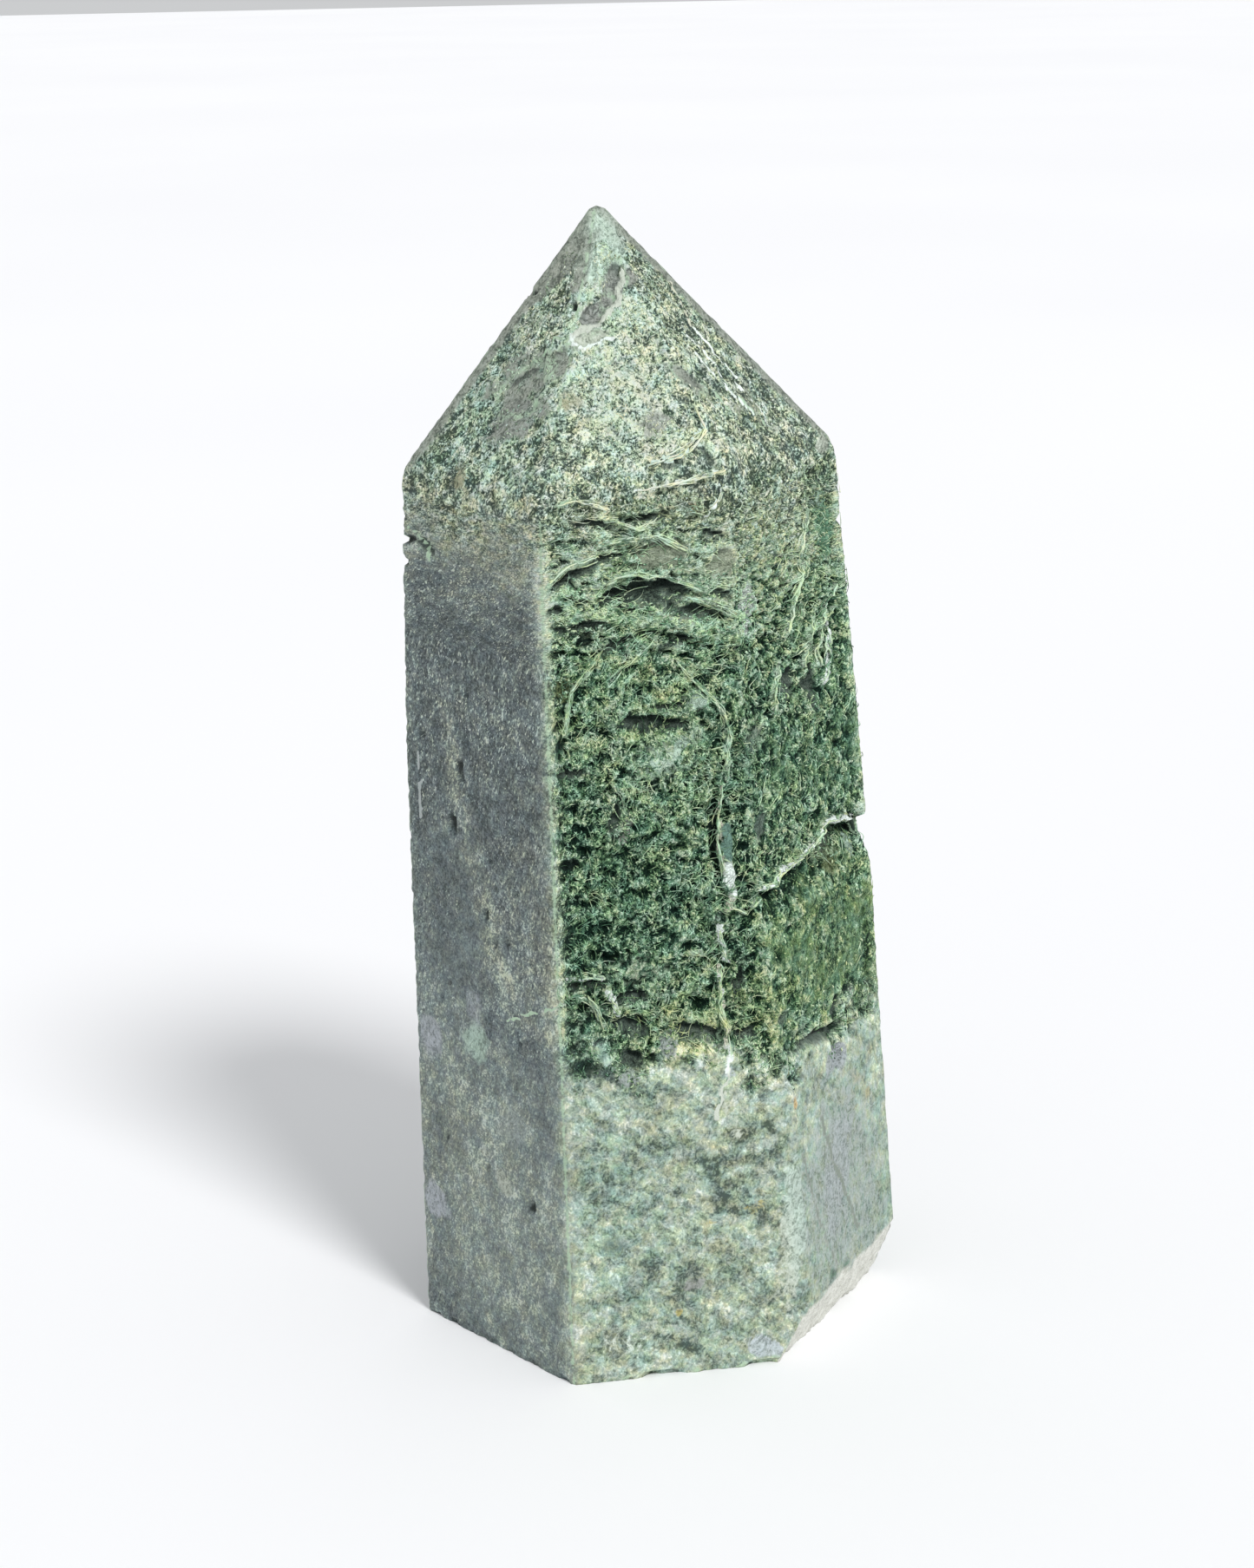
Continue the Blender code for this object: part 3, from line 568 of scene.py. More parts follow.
PATCHES = {
    "front": (
        (2.4, 22.6, 0.5, 1.6, 10, "chalk", 0.4),
        (3.0, 24.8, 0.7, 0.6, 0, "pale_blue", 0.5),
        (0.9, 68.4, 0.5, 0.4, 0, "orange", 0.75),
        (1.4, 69.2, 1.6, 1.0, 0, "cream", 0.35),
        (-1.4, 65.1, 2.3, 1.2, 8, "beige", 0.85),
        (3.6, 64.2, 1.8, 1.2, 0, "beige", 0.8),
        (1.1, 53.9, 0.8, 0.9, 0, "mint", 0.75),
        (-1.5, 49.4, 2.8, 2.2, 12, "mint", 0.35),
        (0.5, 51.2, 1.6, 0.5, 38, "mint", 0.6),
        (-4.5, 44.6, 0.7, 1.6, -14, "brown_grey", 0.6),
        (-9.0, 55.6, 1.0, 1.2, 0, "olive", 0.5),
        (-8.1, 46.3, 0.13, 0.13, 0, "sparkle", 1.0),
        (-3.7, 33.3, 1.9, 1.1, 6, "beige", 0.35),
        (2.6, 37.0, 1.1, 0.9, 0, "mint", 0.4),
        (2.4, 33.2, 0.3, 0.3, 0, "orange", 0.6),
        (-1.6, 27.4, 0.7, 1.3, -10, "grey", 0.7),
        (-5.0, 24.9, 1.2, 0.8, 0, "grey", 0.6),
        (5.0, 26.0, 1.6, 1.0, 0, "cream", 0.3),
        (3.2, 20.6, 0.8, 1.6, 10, "chalk", 0.4),
        (4.7, 13.5, 1.4, 0.5, 10, "ochre", 0.38),
        (1.2, 12.6, 1.0, 0.4, 4, "ochre", 0.35),
        (-1.5, 5.2, 0.4, 0.4, 0, "ochre", 0.8),
        (-0.2, 7.5, 1.1, 0.7, 20, "mauve", 0.55),
        (-6.5, 11.5, 1.4, 1.0, 0, "blue_green", 0.4),
        (5.3, 1.5, 1.6, 1.0, -20, "pale_blue", 0.8),
        (-6.0, 3.0, 2.4, 1.2, 0, "white", 0.3),
        (7.4, 8.5, 1.0, 5.0, 0, "chalk", 0.42),
    ),
    "front_left": (
        (-9.7, 24.5, 2.0, 2.4, 10, "lilac", 0.50),
        (-4.2, 28.6, 1.2, 2.0, 10, "lilac", 0.40),
        (0.2, 19.7, 2.8, 2.4, 0, "grey", 0.40),
        (-9.8, 10.4, 2.0, 1.6, -30, "lilac", 0.60),
        (-4.2, 25.4, 2.2, 2.0, 0, "mint", 0.45),
        (-1.0, 14.6, 0.8, 1.4, 20, "chalk", 0.55),
        (-5.2, 70.9, 3.5, 1.6, 0, "ochre", 0.3),
        (-4.0, 14.0, 4.0, 3.0, 0, "brown_grey", 0.3),
    ),
    "front_right": (
        (-4.6, 12.5, 1.1, 5.6, 0, "pale_mint", 0.50),
        (-5.4, 19.0, 0.5, 2.5, 0, "chalk", 0.5),
        (-3.3, 60.4, 1.3, 2.3, -14, "white", 0.60),
        (8.8, 64.6, 1.3, 3.0, 0, "sea_green", 0.65),
        (8.4, 66.4, 1.0, 0.8, 0, "mint", 0.8),
        (9.1, 70.6, 0.9, 0.7, 0, "chalk", 0.7),
        (9.9, 38.4, 0.7, 1.3, 0, "mint", 0.8),
        (6.2, 38.6, 2.2, 1.8, 0, "olive", 0.5),
        (-4.4, 43.9, 1.1, 1.0, 26, "slate", 0.8),
        (5.5, 52.3, 0.9, 2.2, 0, "slate", 0.6),
        (1.8, 53.6, 1.1, 1.5, 10, "slate", 0.6),
        (-4.2, 50.4, 2.2, 1.2, 30, "slate", 0.4),
        (3.6, 22.6, 2.0, 1.2, 6, "lilac", 0.6),
        (-3.6, 21.2, 0.3, 0.6, 10, "orange", 0.8),
        (6.5, 20.0, 0.8, 0.8, 0, "ochre", 0.25),
        (3.0, 12.0, 9.0, 11.0, 0, "grey", 0.42),
        (2.3, 13.5, 2.2, 5.0, -24, "lilac", 0.25),
        (8.2, 18.0, 0.5, 0.6, 0, "ochre", 0.35),
        (0.1, 5.5, 0.7, 0.4, -20, "emerald", 0.6),
        (2.3, 5.2, 0.8, 0.3, 20, "emerald", 0.6),
    ),
    "tip_front": (
        (0.1, 86.7, 2.2, 2.8, 0, "pale_mint", 0.85),
        (-1.7, 85.6, 0.8, 3.0, -14, "brown_grey", 0.8),
        (0.7, 83.8, 0.8, 1.6, -16, "mauve", 0.9),
        (-0.9, 82.0, 1.5, 0.7, 34, "mauve", 0.85),
        (-1.3, 80.4, 1.8, 0.6, 16, "chalk", 0.75),
        (2.4, 84.5, 1.0, 0.9, 0, "mauve", 0.6),
        (-3.1, 76.2, 0.9, 0.8, 0, "ochre", 0.25),
        (1.0, 76.0, 4.2, 4.2, 0, "chalk", 0.32),
        (3.0, 74.4, 1.2, 0.8, 20, "mauve", 0.4),
    ),
    "tip_front_left": (
        (-1.8, 84.0, 1.0, 4.5, -40, "brown_grey", 0.85),
        (3.0, 78.7, 1.2, 1.2, 20, "brown_grey", 0.8),
        (0.0, 77.2, 3.2, 2.2, 36, "brown_grey", 0.5),
        (0.8, 74.6, 3.6, 1.6, 20, "mauve", 0.4),
    ),
    "tip_front_right": (
        (-2.2, 77.2, 2.0, 1.0, -40, "brown_grey", 0.5),
        (-3.0, 79.6, 1.0, 0.8, 0, "grey", 0.4),
        (3.0, 73.8, 2.6, 1.8, 20, "olive", 0.25),
        (-3.2, 82.5, 0.6, 1.6, 20, "olive", 0.4),
    ),
    "back": (
        (3.0, 48.0, 2.0, 1.0, 16, "beige", 0.7),
        (4.5, 22.0, 1.6, 1.3, 0, "lilac", 0.6),
        (-5.0, 12.0, 3.0, 2.2, 0, "chalk", 0.4),
        (-3.0, 68.0, 2.6, 1.4, 0, "ochre", 0.3),
    ),
    "back_right": (
        (3.0, 12.0, 4.0, 4.0, 0, "grey", 0.4),
        (-4.0, 8.0, 1.0, 0.7, 0, "orange", 0.5),
    ),
    "back_right_upper": (
        (4.0, 64.0, 1.2, 1.8, 0, "emerald", 0.6),
    ),
    "back_left": (
        (4.0, 20.0, 2.4, 2.0, 0, "lilac", 0.5),
        (-4.0, 40.0, 1.0, 4.0, 14, "olive", 0.4),
    ),
    "tip_back": (
        (1.0, 78.0, 1.8, 1.0, 10, "mauve", 0.7),
        (-2.0, 73.0, 3.4, 2.2, 0, "chalk", 0.4),
    ),
    "tip_back_left": (
        (1.0, 77.0, 2.4, 2.4, 20, "slate", 0.5),
    ),
    "tip_back_right": (
        (0.0, 76.0, 2.6, 2.0, -20, "olive", 0.4),
    ),
}

# Broad regions of each face, and some narrow strips of painted shade: along, height, half
# width, half height, turn, lighter or darker, warmer or cooler

TONES = {
    "front": (
        (0.0, 62.5, 14.0, 5.0, 0, 0.33, -0.13),
        (-7.0, 40.0, 5.0, 9.0, 0, -0.12, -0.18),
        (1.0, 40.0, 7.0, 9.0, 0, 0.0, -0.03),
        (-2.0, 52.0, 8.0, 5.0, 0, 0.10, 0.12),
        (5.0, 51.0, 4.0, 6.0, 0, -0.03, -0.20),
        # Narrow darker strips: painted shade of crevices on the lower front, which the mesh does
        # not cut
        (5.0, 19.7, 1.7, 0.5, 8, -0.42, 0.0),
        (3.2, 17.6, 2.4, 0.5, 0, -0.42, 0.0),
        (1.9, 15.1, 0.8, 1.5, 0, -0.34, 0.0),
        (3.6, 13.4, 1.7, 0.6, -24, -0.34, 0.0),
        (-6.6, 25.2, 3.0, 0.6, -18, -0.34, 0.0),
        (-2.7, 19.2, 2.0, 0.5, 0, -0.38, 0.0),
        (-1.0, 7.2, 1.0, 1.8, -30, -0.30, 0.0),
        (-7.2, 6.8, 1.9, 0.6, 0, -0.34, 0.0),
        (-1.6, 2.7, 2.2, 0.6, -26, -0.34, 0.0),
        (1.5, 28.5, 9.0, 3.2, 0, 0.14, 0.28),
        (4.5, 29.5, 4.0, 2.0, 0, -0.06, 0.15),
        (-7.6, 27.0, 2.8, 2.8, 0, -0.18, -0.40),
        (0.0, 15.0, 12.0, 11.0, 0, -0.05, -0.02),
        (-6.0, 13.0, 4.0, 9.0, 0, -0.03, -0.20),
        (2.0, 20.0, 5.0, 2.6, 0, 0.05, 0.15),
    ),
    "front_left": (
        (-1.0, 64.5, 14.0, 5.0, 0, 0.16, 0.22),
        (3.5, 45.0, 5.0, 26.0, 14, 0.03, 0.12),
        (-5.8, 47.5, 1.3, 8.0, 10, 0.18, 0.35),
        (-2.2, 36.5, 1.6, 7.0, 18, 0.26, 0.45),
        (4.0, 35.0, 5.0, 8.0, 14, 0.16, 0.25),
        (-6.4, 33.8, 3.6, 6.0, 0, -0.12, 0.0),
        (3.0, 24.0, 3.4, 6.0, 0, -0.10, 0.0),
        (-8.0, 17.0, 3.6, 4.0, 0, -0.06, 0.25),
        (-8.0, 22.0, 9.0, 16.0, 0, 0.06, 0.05),
        (0.0, 9.0, 14.0, 13.0, 0, 0.20, 0.20),
        (0.0, 26.0, 14.0, 10.0, 0, 0.12, 0.0),
    ),
    "front_right": (
        (-3.2, 60.4, 1.7, 2.6, -14, 0.25, -0.20),
        (0.0, 63.0, 14.0, 5.0, 0, 0.16, 0.10),
        (0.0, 47.0, 14.0, 7.0, 0, -0.09, 0.0),
        (4.0, 33.0, 14.0, 7.0, 0, -0.03, 0.30),
        (4.0, 12.0, 14.0, 9.0, 0, -0.06, -0.15),
    ),
    "tip_front": (
        (0.5, 78.0, 7.0, 11.0, 0, 0.33, -0.08),
        (2.0, 71.0, 8.0, 4.0, 0, 0.0, 0.05),
        (2.0, 78.0, 6.0, 5.0, 0, 0.06, 0.0),
        (-3.5, 71.5, 4.0, 3.4, 0, -0.13, 0.0),
    ),
    "tip_front_left": (
        (-4.0, 72.0, 7.0, 6.0, 0, 0.05, -0.20),
        (2.0, 77.0, 7.0, 7.0, 0, 0.20, -0.20),
    ),
    "tip_front_right": (
        (1.0, 76.0, 9.0, 7.0, 0, 0.10, 0.0),
    ),
}

# Quiet regions, the same way, and how quiet

CALM = {
    "front_left": (
        (-7.0, 24.0, 5.0, 20.0, 0, 0.5),
        (0.0, 12.0, 14.0, 16.0, 0, 0.65),
    ),
    "front_right": (
        (4.0, 32.5, 11.0, 6.8, 0, 0.95),
        (10.5, 48.0, 3.0, 9.0, 0, 0.6),
        (3.0, 46.8, 8.0, 4.5, 0, 0.5),
        (4.0, 11.0, 13.0, 13.0, 0, 0.55),
    ),
    "tip_front": (
        (-1.7, 85.6, 1.2, 3.5, -14, 0.8),
    ),
    "tip_front_left": (
        (1.5, 76.6, 2.6, 2.0, 30, 0.15),
    ),
}


class Plane:
    """One flat cut through the stone, with directions along it."""

    def __init__(self, facing, distance, lean):
        turn = math.radians(facing)
        tip = math.radians(lean)
        outward = np.array((math.sin(turn), -math.cos(turn), 0.0))
        self.right = np.array((math.cos(turn), math.sin(turn), 0.0))
        self.normal = outward * math.cos(tip) + np.array((0.0, 0.0, math.sin(tip)))
        self.origin = APEX if distance is None else outward * distance
        self.reach = self.normal @ self.origin

    def gap(self, points):
        """How far points lie behind the plane."""
        return self.reach - points @ self.normal

    def along(self, points):
        """Places of points along the plane, positive to the right."""
        return (points - self.origin) @ self.right

    def level_distance(self, height):
        """How far the plane is from the axis at a height."""
        return (self.reach - self.normal[2] * height) / np.linalg.norm(self.normal[:2])


def strip_plane(first, second, width):
    """The cut that turns the edge between two planes into a strip of a given width."""
    strip = Plane(0.0, 0.0, 0.0)
    strip.normal = first.normal + second.normal
    strip.normal /= np.linalg.norm(strip.normal)
    line = np.cross(first.normal, second.normal)
    rows = np.array((first.normal, second.normal, line))
    corner = np.linalg.solve(rows, (first.reach, second.reach, 0.0))
    half_angle = math.acos(first.normal @ second.normal) / 2
    strip.reach = strip.normal @ corner - width / 2 * math.tan(half_angle)
    return strip


def apex_plane():
    """The cut that stands for the worn apex."""
    plane = Plane(0.0, 0.0, 0.0)
    plane.normal = APEX_WEAR_FACING / np.linalg.norm(APEX_WEAR_FACING)
    plane.reach = plane.normal @ (APEX - (0.0, 0.0, APEX_WEAR))
    return plane


GROUND = {name: Plane(*values) for name, values in SIDES.items()}
GROUND.update({name: Plane(turn, None, tip) for name, (turn, tip) in TIP_FACETS.items()})
STRIPS = [strip_plane(GROUND[one], GROUND[other], width) for one, other, width in WORN_EDGES]
CHIP_PLANE = Plane(*CHIP)


class Noise:
    """Smooth random hills and valleys in space, from about -1 to 1, the same each run."""

    CELLS = 256
    GAIN = 1.6
    LAYER_SHIFT = 17.3
    CREST_SHIFT = 31.7
    CREST_POWER = 3
    SCATTER = 0.45
    FAR = 9.0

    def __init__(self, seed):
        chance = np.random.default_rng(seed)
        self.order = np.tile(chance.permutation(self.CELLS), 2)
        slopes = chance.normal(size=(self.CELLS, 3))
        self.slopes = slopes / np.linalg.norm(slopes, axis=1, keepdims=True)
        self.values = chance.random(self.CELLS)

    def pick(self, cell):
        """A number for each cell of the lattice, always the same for the same cell."""
        x, y, z = (cell % self.CELLS).T
        return self.order[self.order[self.order[x] + y] + z]

    def smooth(self, points, size):
        """Noise of one size, eased from cell to cell by the usual fifth-degree curve."""
        spots = points / size
        cells = np.floor(spots).astype(int)
        inside = spots - cells
        ease = inside**3 * (inside * (inside * 6 - 15) + 10)
        total = np.zeros(len(points))
        for corner in np.ndindex(2, 2, 2):
            share = np.where(corner, ease, 1 - ease).prod(axis=1)
            slope = self.slopes[self.pick(cells + corner)]
            total += share * ((inside - corner) * slope).sum(axis=1)
        return total * self.GAIN

    def layers(self, points, size, count, finer=2.1, weaker=0.5):
        """Noise with finer noise on top."""
        total = 0.0
        strength = 1.0
        for layer in range(count):
            total = total + strength * self.smooth(points + self.LAYER_SHIFT * layer, size)
            size /= finer
            strength *= weaker
        return total

    def ridges(self, points, size, count):
        """Narrow crests, 1 on the crest and 0 far from it, with finer ones between."""
        total = 0.0
        whole = 0.0
        strength = 1.0
        for layer in range(count):
            crest = 1 - np.abs(self.smooth(points + self.CREST_SHIFT * layer, size))
            total = total + strength * crest**self.CREST_POWER
            whole += strength
            size /= 2
            strength /= 2
        return total / whole

    def spots(self, points, size):
        """Distance to the nearest of a scatter of places, in cells, and that place's
        own random number."""
        scaled = points / size
        cells = np.floor(scaled).astype(int)
        nearest = np.full(len(points), self.FAR)
        owner = np.zeros(len(points))
        for step in np.ndindex(3, 3, 3):
            cell = cells + step - 1
            pick = self.pick(cell)
            place = cell + 0.5 + self.slopes[pick] * self.SCATTER
            distance = np.linalg.norm(scaled - place, axis=1)
            closer = distance < nearest
            nearest = np.where(closer, distance, nearest)
            owner = np.where(closer, self.values[pick], owner)
        return nearest, owner

    def named(self, name, points):
        """A noise of the table."""
        size, count, shift = NOISES[name]
        return self.layers(points + shift, size, count)

    def push(self, name, points):
        """Several noises side by side, to push places with."""
        size, count, shifts = PUSHES[name]
        return np.column_stack([self.layers(points + shift, size, count) for shift in shifts])


def smooth_step(low, high, values):
    """0 up to the low value and 1 from the high one, softly in between."""
    share = np.clip((values - low) / (high - low), 0.0, 1.0)
    return share * share * (3 - 2 * share)


def at_least(least, share):
    """A share that runs from 0 to 1, drawn up to run from a least value to 1."""
    return least + (1 - least) * share


def entries(table):
    """Rows of a table by face, each with its face in front."""
    return [(face, *row) for face, rows in table.items() for row in rows]


def ring_heights():
    """Heights of the rings of the skin, closer together on the mossy middle."""
    heights = [0.0]
    steps = [*RING_STEPS, (TOP_RING, 0.0, 0.0)]
    for (start, first, last), (end, *_) in zip(steps, steps[1:]):
        count = round((end - start) * 2 / (first + last))
        share = np.arange(1, count + 1) / count
        lean = (last - first) / (last + first)
        heights.extend(start + (end - start) * (share + lean * (share**2 - share)))
    return np.array(heights)


class Skin:
    """The stone's surface as rings of points, and what is known at each point."""

    def __init__(self):
        self.noise = Noise(NOISE_SEED)
        self.heights = ring_heights()
        self.rows = len(self.heights)
        self.columns = sum(COLUMNS.values())
        targets = np.array([ring_targets(height) for height in self.heights])
        centres = np.array([axis_at(height) for height in self.heights])
        rays = targets - centres[:, None, :]
        rays /= np.linalg.norm(rays, axis=2, keepdims=True)
        rays = rays.reshape(-1, 2)
        level = np.repeat(self.heights, self.columns)
        centre = np.repeat(centres, self.columns, axis=0)
        self.ground, self.broken = self.cast(centre, rays, level)
        self.gaps = {name: plane.gap(self.ground) for name, plane in GROUND.items()}
        shares = {name: np.exp(-np.abs(gap) / SHARE_BLEND) for name, gap in self.gaps.items()}
        total = sum(shares.values())
        self.shares = {name: share / total for name, share in shares.items()}
        normals = sum(
            share[:, None] * GROUND[name].normal for name, share in self.shares.items()
        )
        normals = normals + self.broken[:, None] * (CHIP_PLANE.normal - normals)
        self.normals = normals / np.linalg.norm(normals, axis=1, keepdims=True)
        sides = [np.minimum(self.gaps[lower], self.gaps[upper]) for lower, upper, _ in TURNS]
        tips = [self.gaps[tip] for *_, tip in TURNS]
        self.edge_room = np.sort(np.array(sides + tips), axis=0)[1]
        self.sink = self.nothing()

    def nothing(self):
        """Zero at each point."""
        return np.zeros(len(self.ground))

    def cast(self, centre, rays, level):
        """Where level rays from the axis leave the ground stone, and where that is on
        the broken corner."""
        reach = np.full(len(rays), np.inf)
        for plane in [*GROUND.values(), *STRIPS, apex_plane()]:
            reach = np.minimum(reach, ray_length(plane, centre, rays, level))
        chip = ray_length(CHIP_PLANE, centre, rays, level)
        guess = np.column_stack((centre + rays * np.minimum(chip, reach)[:, None], level))
        crests = self.noise.ridges(guess, CHIP_SCALLOP_SIZE, CHIP_SCALLOP_LAYERS)
        chip = chip + CHIP_UNEVEN * self.noise.named("chip", guess)
        chip = chip + CHIP_SCALLOP * (crests - 0.5)
        broken = smooth_step(*CHIP_FADE, reach - chip)
        reach = np.minimum(reach, chip)
        points = np.column_stack((centre + rays * reach[:, None], level))
        return points, broken

    def on(self, face):
        """Places of all points along a face, and how near each point is to it."""
        plane = GROUND[face]
        near = smooth_step(NEAR_FACE, 0.0, np.abs(self.gaps[face]))
        return plane.along(self.ground), self.ground[:, 2], near

    def within(self, face, middle, level, half_width, half_height, turn):
        """How far points are from a place on a face, in half widths and half heights,
        how high they are in it, and how near they are to the face."""
        along, height, near = self.on(face)
        first, second = turned(along, height, (middle, level), turn)
        lift = second / half_height
        return np.hypot(first / half_width, lift), lift, near

    def zone(self, *words):
        """Share of each point that belongs to the faces whose names have a word."""
        return sum(
            share for name, share in self.shares.items() if any(word in name for word in words)
        )

    def blur(self, values, steps):
        """Values averaged with their neighbours in the rings and columns."""
        grid = values.reshape(self.rows, self.columns)
        for _ in range(steps):
            grid = (np.roll(grid, 1, axis=1) + 2 * grid + np.roll(grid, -1, axis=1)) / 4
            padded = np.pad(grid, ((1, 1), (0, 0)), mode="edge")
            grid = (padded[:-2] + 2 * grid + padded[2:]) / 4
        return grid.reshape(-1)


def axis_at(height):
    """The line inside the stone that the rings are centred on."""
    share = max(0.0, (height - AXIS_BEND) / (APEX[2] - AXIS_BEND))
    return APEX[:2] * share


def ray_length(plane, centre, rays, level):
    """How far a level ray goes before it leaves a plane."""
    room = plane.reach - centre @ plane.normal[:2] - plane.normal[2] * level
    speed = rays @ plane.normal[:2]
    return np.where(speed > TINY, room / np.maximum(speed, TINY), np.inf)


def crossing(first, second, height):
    """Where two planes cross at a height."""
    rows = np.array((first.normal[:2], second.normal[:2]))
    room = np.array((first.reach, second.reach))
    lift = np.array((first.normal[2], second.normal[2])) * height
    return np.linalg.solve(rows, room - lift)


def ring_corners(height):
    """The stone's six corners at a height, on its sides or on its point."""
    sides, tips = [], []
    for lower, upper, tip in TURNS:
        options = (GROUND[lower], GROUND[upper])
        sides.append(min(options, key=lambda plane: plane.level_distance(height)))
        tips.append(GROUND[tip])
    centre = axis_at(height)
    corners = []
    for turn in range(len(TURNS)):
        side = crossing(sides[turn - 1], sides[turn], height) - centre
        tip = crossing(tips[turn - 1], tips[turn], height) - centre
        over = np.linalg.norm(side) - np.linalg.norm(tip)
        share = smooth_step(-SHOULDER_BLEND, SHOULDER_BLEND, over)
        corners.append(centre + side + (tip - side) * share)
    return corners


def ring_targets(height):
    """Evenly spaced places from corner to corner, that the rays aim for."""
    corners = ring_corners(height)
    places = []
    for turn, count in enumerate(COLUMNS.values()):
        start, end = corners[turn], corners[(turn + 1) % len(corners)]
        share = (np.arange(count) / count)[:, None]
        places.append(start + (end - start) * share)
    return np.concatenate(places)


def turned(along, height, centre, degrees):
    """Places measured from a centre, in directions turned by some degrees."""
    turn = math.radians(degrees)
    across = along - centre[0]
    rise = height - centre[1]
    first = across * math.cos(turn) + rise * math.sin(turn)
    second = rise * math.cos(turn) - across * math.sin(turn)
    return first, second


def distance_to_line(along, height, places):
    """Distance from points to a bent line on a face."""
    nearest = np.full(len(along), np.inf)
    for (x0, y0), (x1, y1) in zip(places, places[1:]):
        dx, dy = x1 - x0, y1 - y0
        share = ((along - x0) * dx + (height - y0) * dy) / (dx * dx + dy * dy)
        share = np.clip(share, 0.0, 1.0)
        miss = np.hypot(along - x0 - share * dx, height - y0 - share * dy)
        nearest = np.minimum(nearest, miss)
    return nearest


def mark_zones(skin):
    """Where the stone is mossy, where it is slate grey, and where its point begins."""
    across, height = skin.ground[:, 0], skin.ground[:, 2]
    wander = skin.noise.named("wander", skin.ground)
    torn = skin.noise.named("tear", skin.ground)
    point = skin.zone("tip")
    lowest = np.interp(across, *zip(*MOSS_FOOT))
    border = MOSS_FOOT_WANDER * wander + MOSS_FOOT_TEAR * torn
    foot = smooth_step(*MOSS_FOOT_FADE, height - lowest - border)
    head = smooth_step(*MOSS_HEAD_FADE, height - MOSS_HEAD - MOSS_HEAD_WANDER * wander)
    green = np.clip(skin.zone("front") - skin.zone("front_left") - point, 0, 1)
    behind = np.clip(skin.zone("back") - point, 0, 1)
    patchy = smooth_step(*BACK_MOSS_FADE, skin.noise.named("back_moss", skin.ground))
    grown = np.clip(green + behind * at_least(BACK_MOSS_LEAST, patchy), 0, 1)
    border = SLATE_HEAD_WANDER * wander + SLATE_HEAD_TEAR * torn
    slate_top = smooth_step(*SLATE_HEAD_FADE, height - SLATE_HEAD - border)
    slate = skin.zone("front_left") + BACK_SLATE * skin.zone("back_left")
    skin.slate = np.clip(slate - point, 0, 1) * slate_top
    skin.moss = foot * head * grown * (1 - skin.slate)
    skin.tip = smooth_step(*POINT_FADE, height - MOSS_HEAD - POINT_WANDER * wander)
    skin.flank = skin.nothing()
    for one, other in FLANKS:
        away = np.maximum(skin.gaps[one], skin.gaps[other])
        skin.flank = np.maximum(skin.flank, smooth_step(*FLANK_FADE, away))


def cover_region(skin, ragged, *region):
    """A broad soft region on a face: 1 well inside it."""
    span, _, near = skin.within(*region)
    return near * smooth_step(*REGION_FADE, span + REGION_RAGGED * ragged)


def squeezed(points):
    """Places with the folded part of the stone drawn out, for patterns in thin layers."""
    low, high = SQUEEZED
    rise = FOLD_SQUEEZE * np.clip(points[:, 2] - low, 0, high - low)
    return points + rise[:, None] * (0.0, 0.0, 1.0)


def mark_plates(skin):
    """Smooth plates between the crumbs of the point."""
    grown = skin.noise.named("plates", skin.ground * PLATE_SQUASH)
    share = sum(weight * skin.shares[face] for face, weight in PLATES.items())
    skin.plates = smooth_step(*PLATE_FADE, grown) * share * skin.tip * (1 - skin.slate)


def mark_calm(skin):
    """Where the stone took its polish and its pattern is quiet."""
    ragged = skin.noise.named("region", skin.ground)
    skin.calm = skin.nothing()
    for *region, share in entries(CALM):
        skin.calm = np.maximum(skin.calm, share * cover_region(skin, ragged, *region))
    skin.calm = np.maximum(skin.calm, FLANK_CALM * skin.flank * skin.zone("tip"))
    skin.calm = np.maximum(skin.calm, PLATE_CALM * skin.plates)


def sink_moss(skin):
    """The moss took no polish: it is eaten back in lumps, threads and pits."""
    noise = skin.noise
    ground = squeezed(skin.ground)
    curly = ground + CURL_PUSH * noise.push("curl", ground)
    edge = smooth_step(0.0, EDGE_ROOM, skin.edge_room)
    broad = 0.5 + 0.5 * noise.named("broad", ground * BROAD_SQUASH)
    felt = 1 - noise.ridges(curly * FELT_SQUASH, FELT_SIZE, FELT_LAYERS)
    grit = GRIT_LEVEL + noise.named("grit", curly)
    moss = skin.moss * (1 - CALM_LOSS * skin.calm) * (1 - MOSS_FLANK_LOSS * skin.flank)
    point = skin.tip * (1 - skin.slate) * (1 - POINT_FLANK_LOSS * skin.flank)
    point = point * (1 - PLATE_LOSS * skin.plates)
    felt_share = moss * at_least(FELT_AT_EDGE, edge) * MOSS_WORN["felt"]
    grit_share = moss * MOSS_WORN["grit"] + point * POINT_WORN["grit"] + skin.slate * SLATE_GRIT
    skin.sink += moss * edge * (MOSS_WORN["evenly"] + MOSS_WORN["broad"] * broad)
    skin.sink += (felt_share + point * POINT_WORN["felt"]) * felt
    skin.sink += (grit_share + ALL_GRIT) * grit
    for size, shift, share, depth in PITS:
        near, owner = noise.spots((curly + shift) * PIT_SQUASH, size)
        pit = (owner < share) * smooth_step(*PIT_FADE, near)
        pit = pit * at_least(SHALLOWEST_PIT, owner / share)
        skin.sink += depth * pit * (moss * edge + POINT_WORN["pits"] * point)
    near, owner = noise.spots(curly * NICK_SQUASH, NICK_SIZE)
    nick = (owner < NICK_SHARE) * smooth_step(*NICK_FADE, near)
    skin.sink += NICK_DEPTH * nick * (1 - skin.moss)


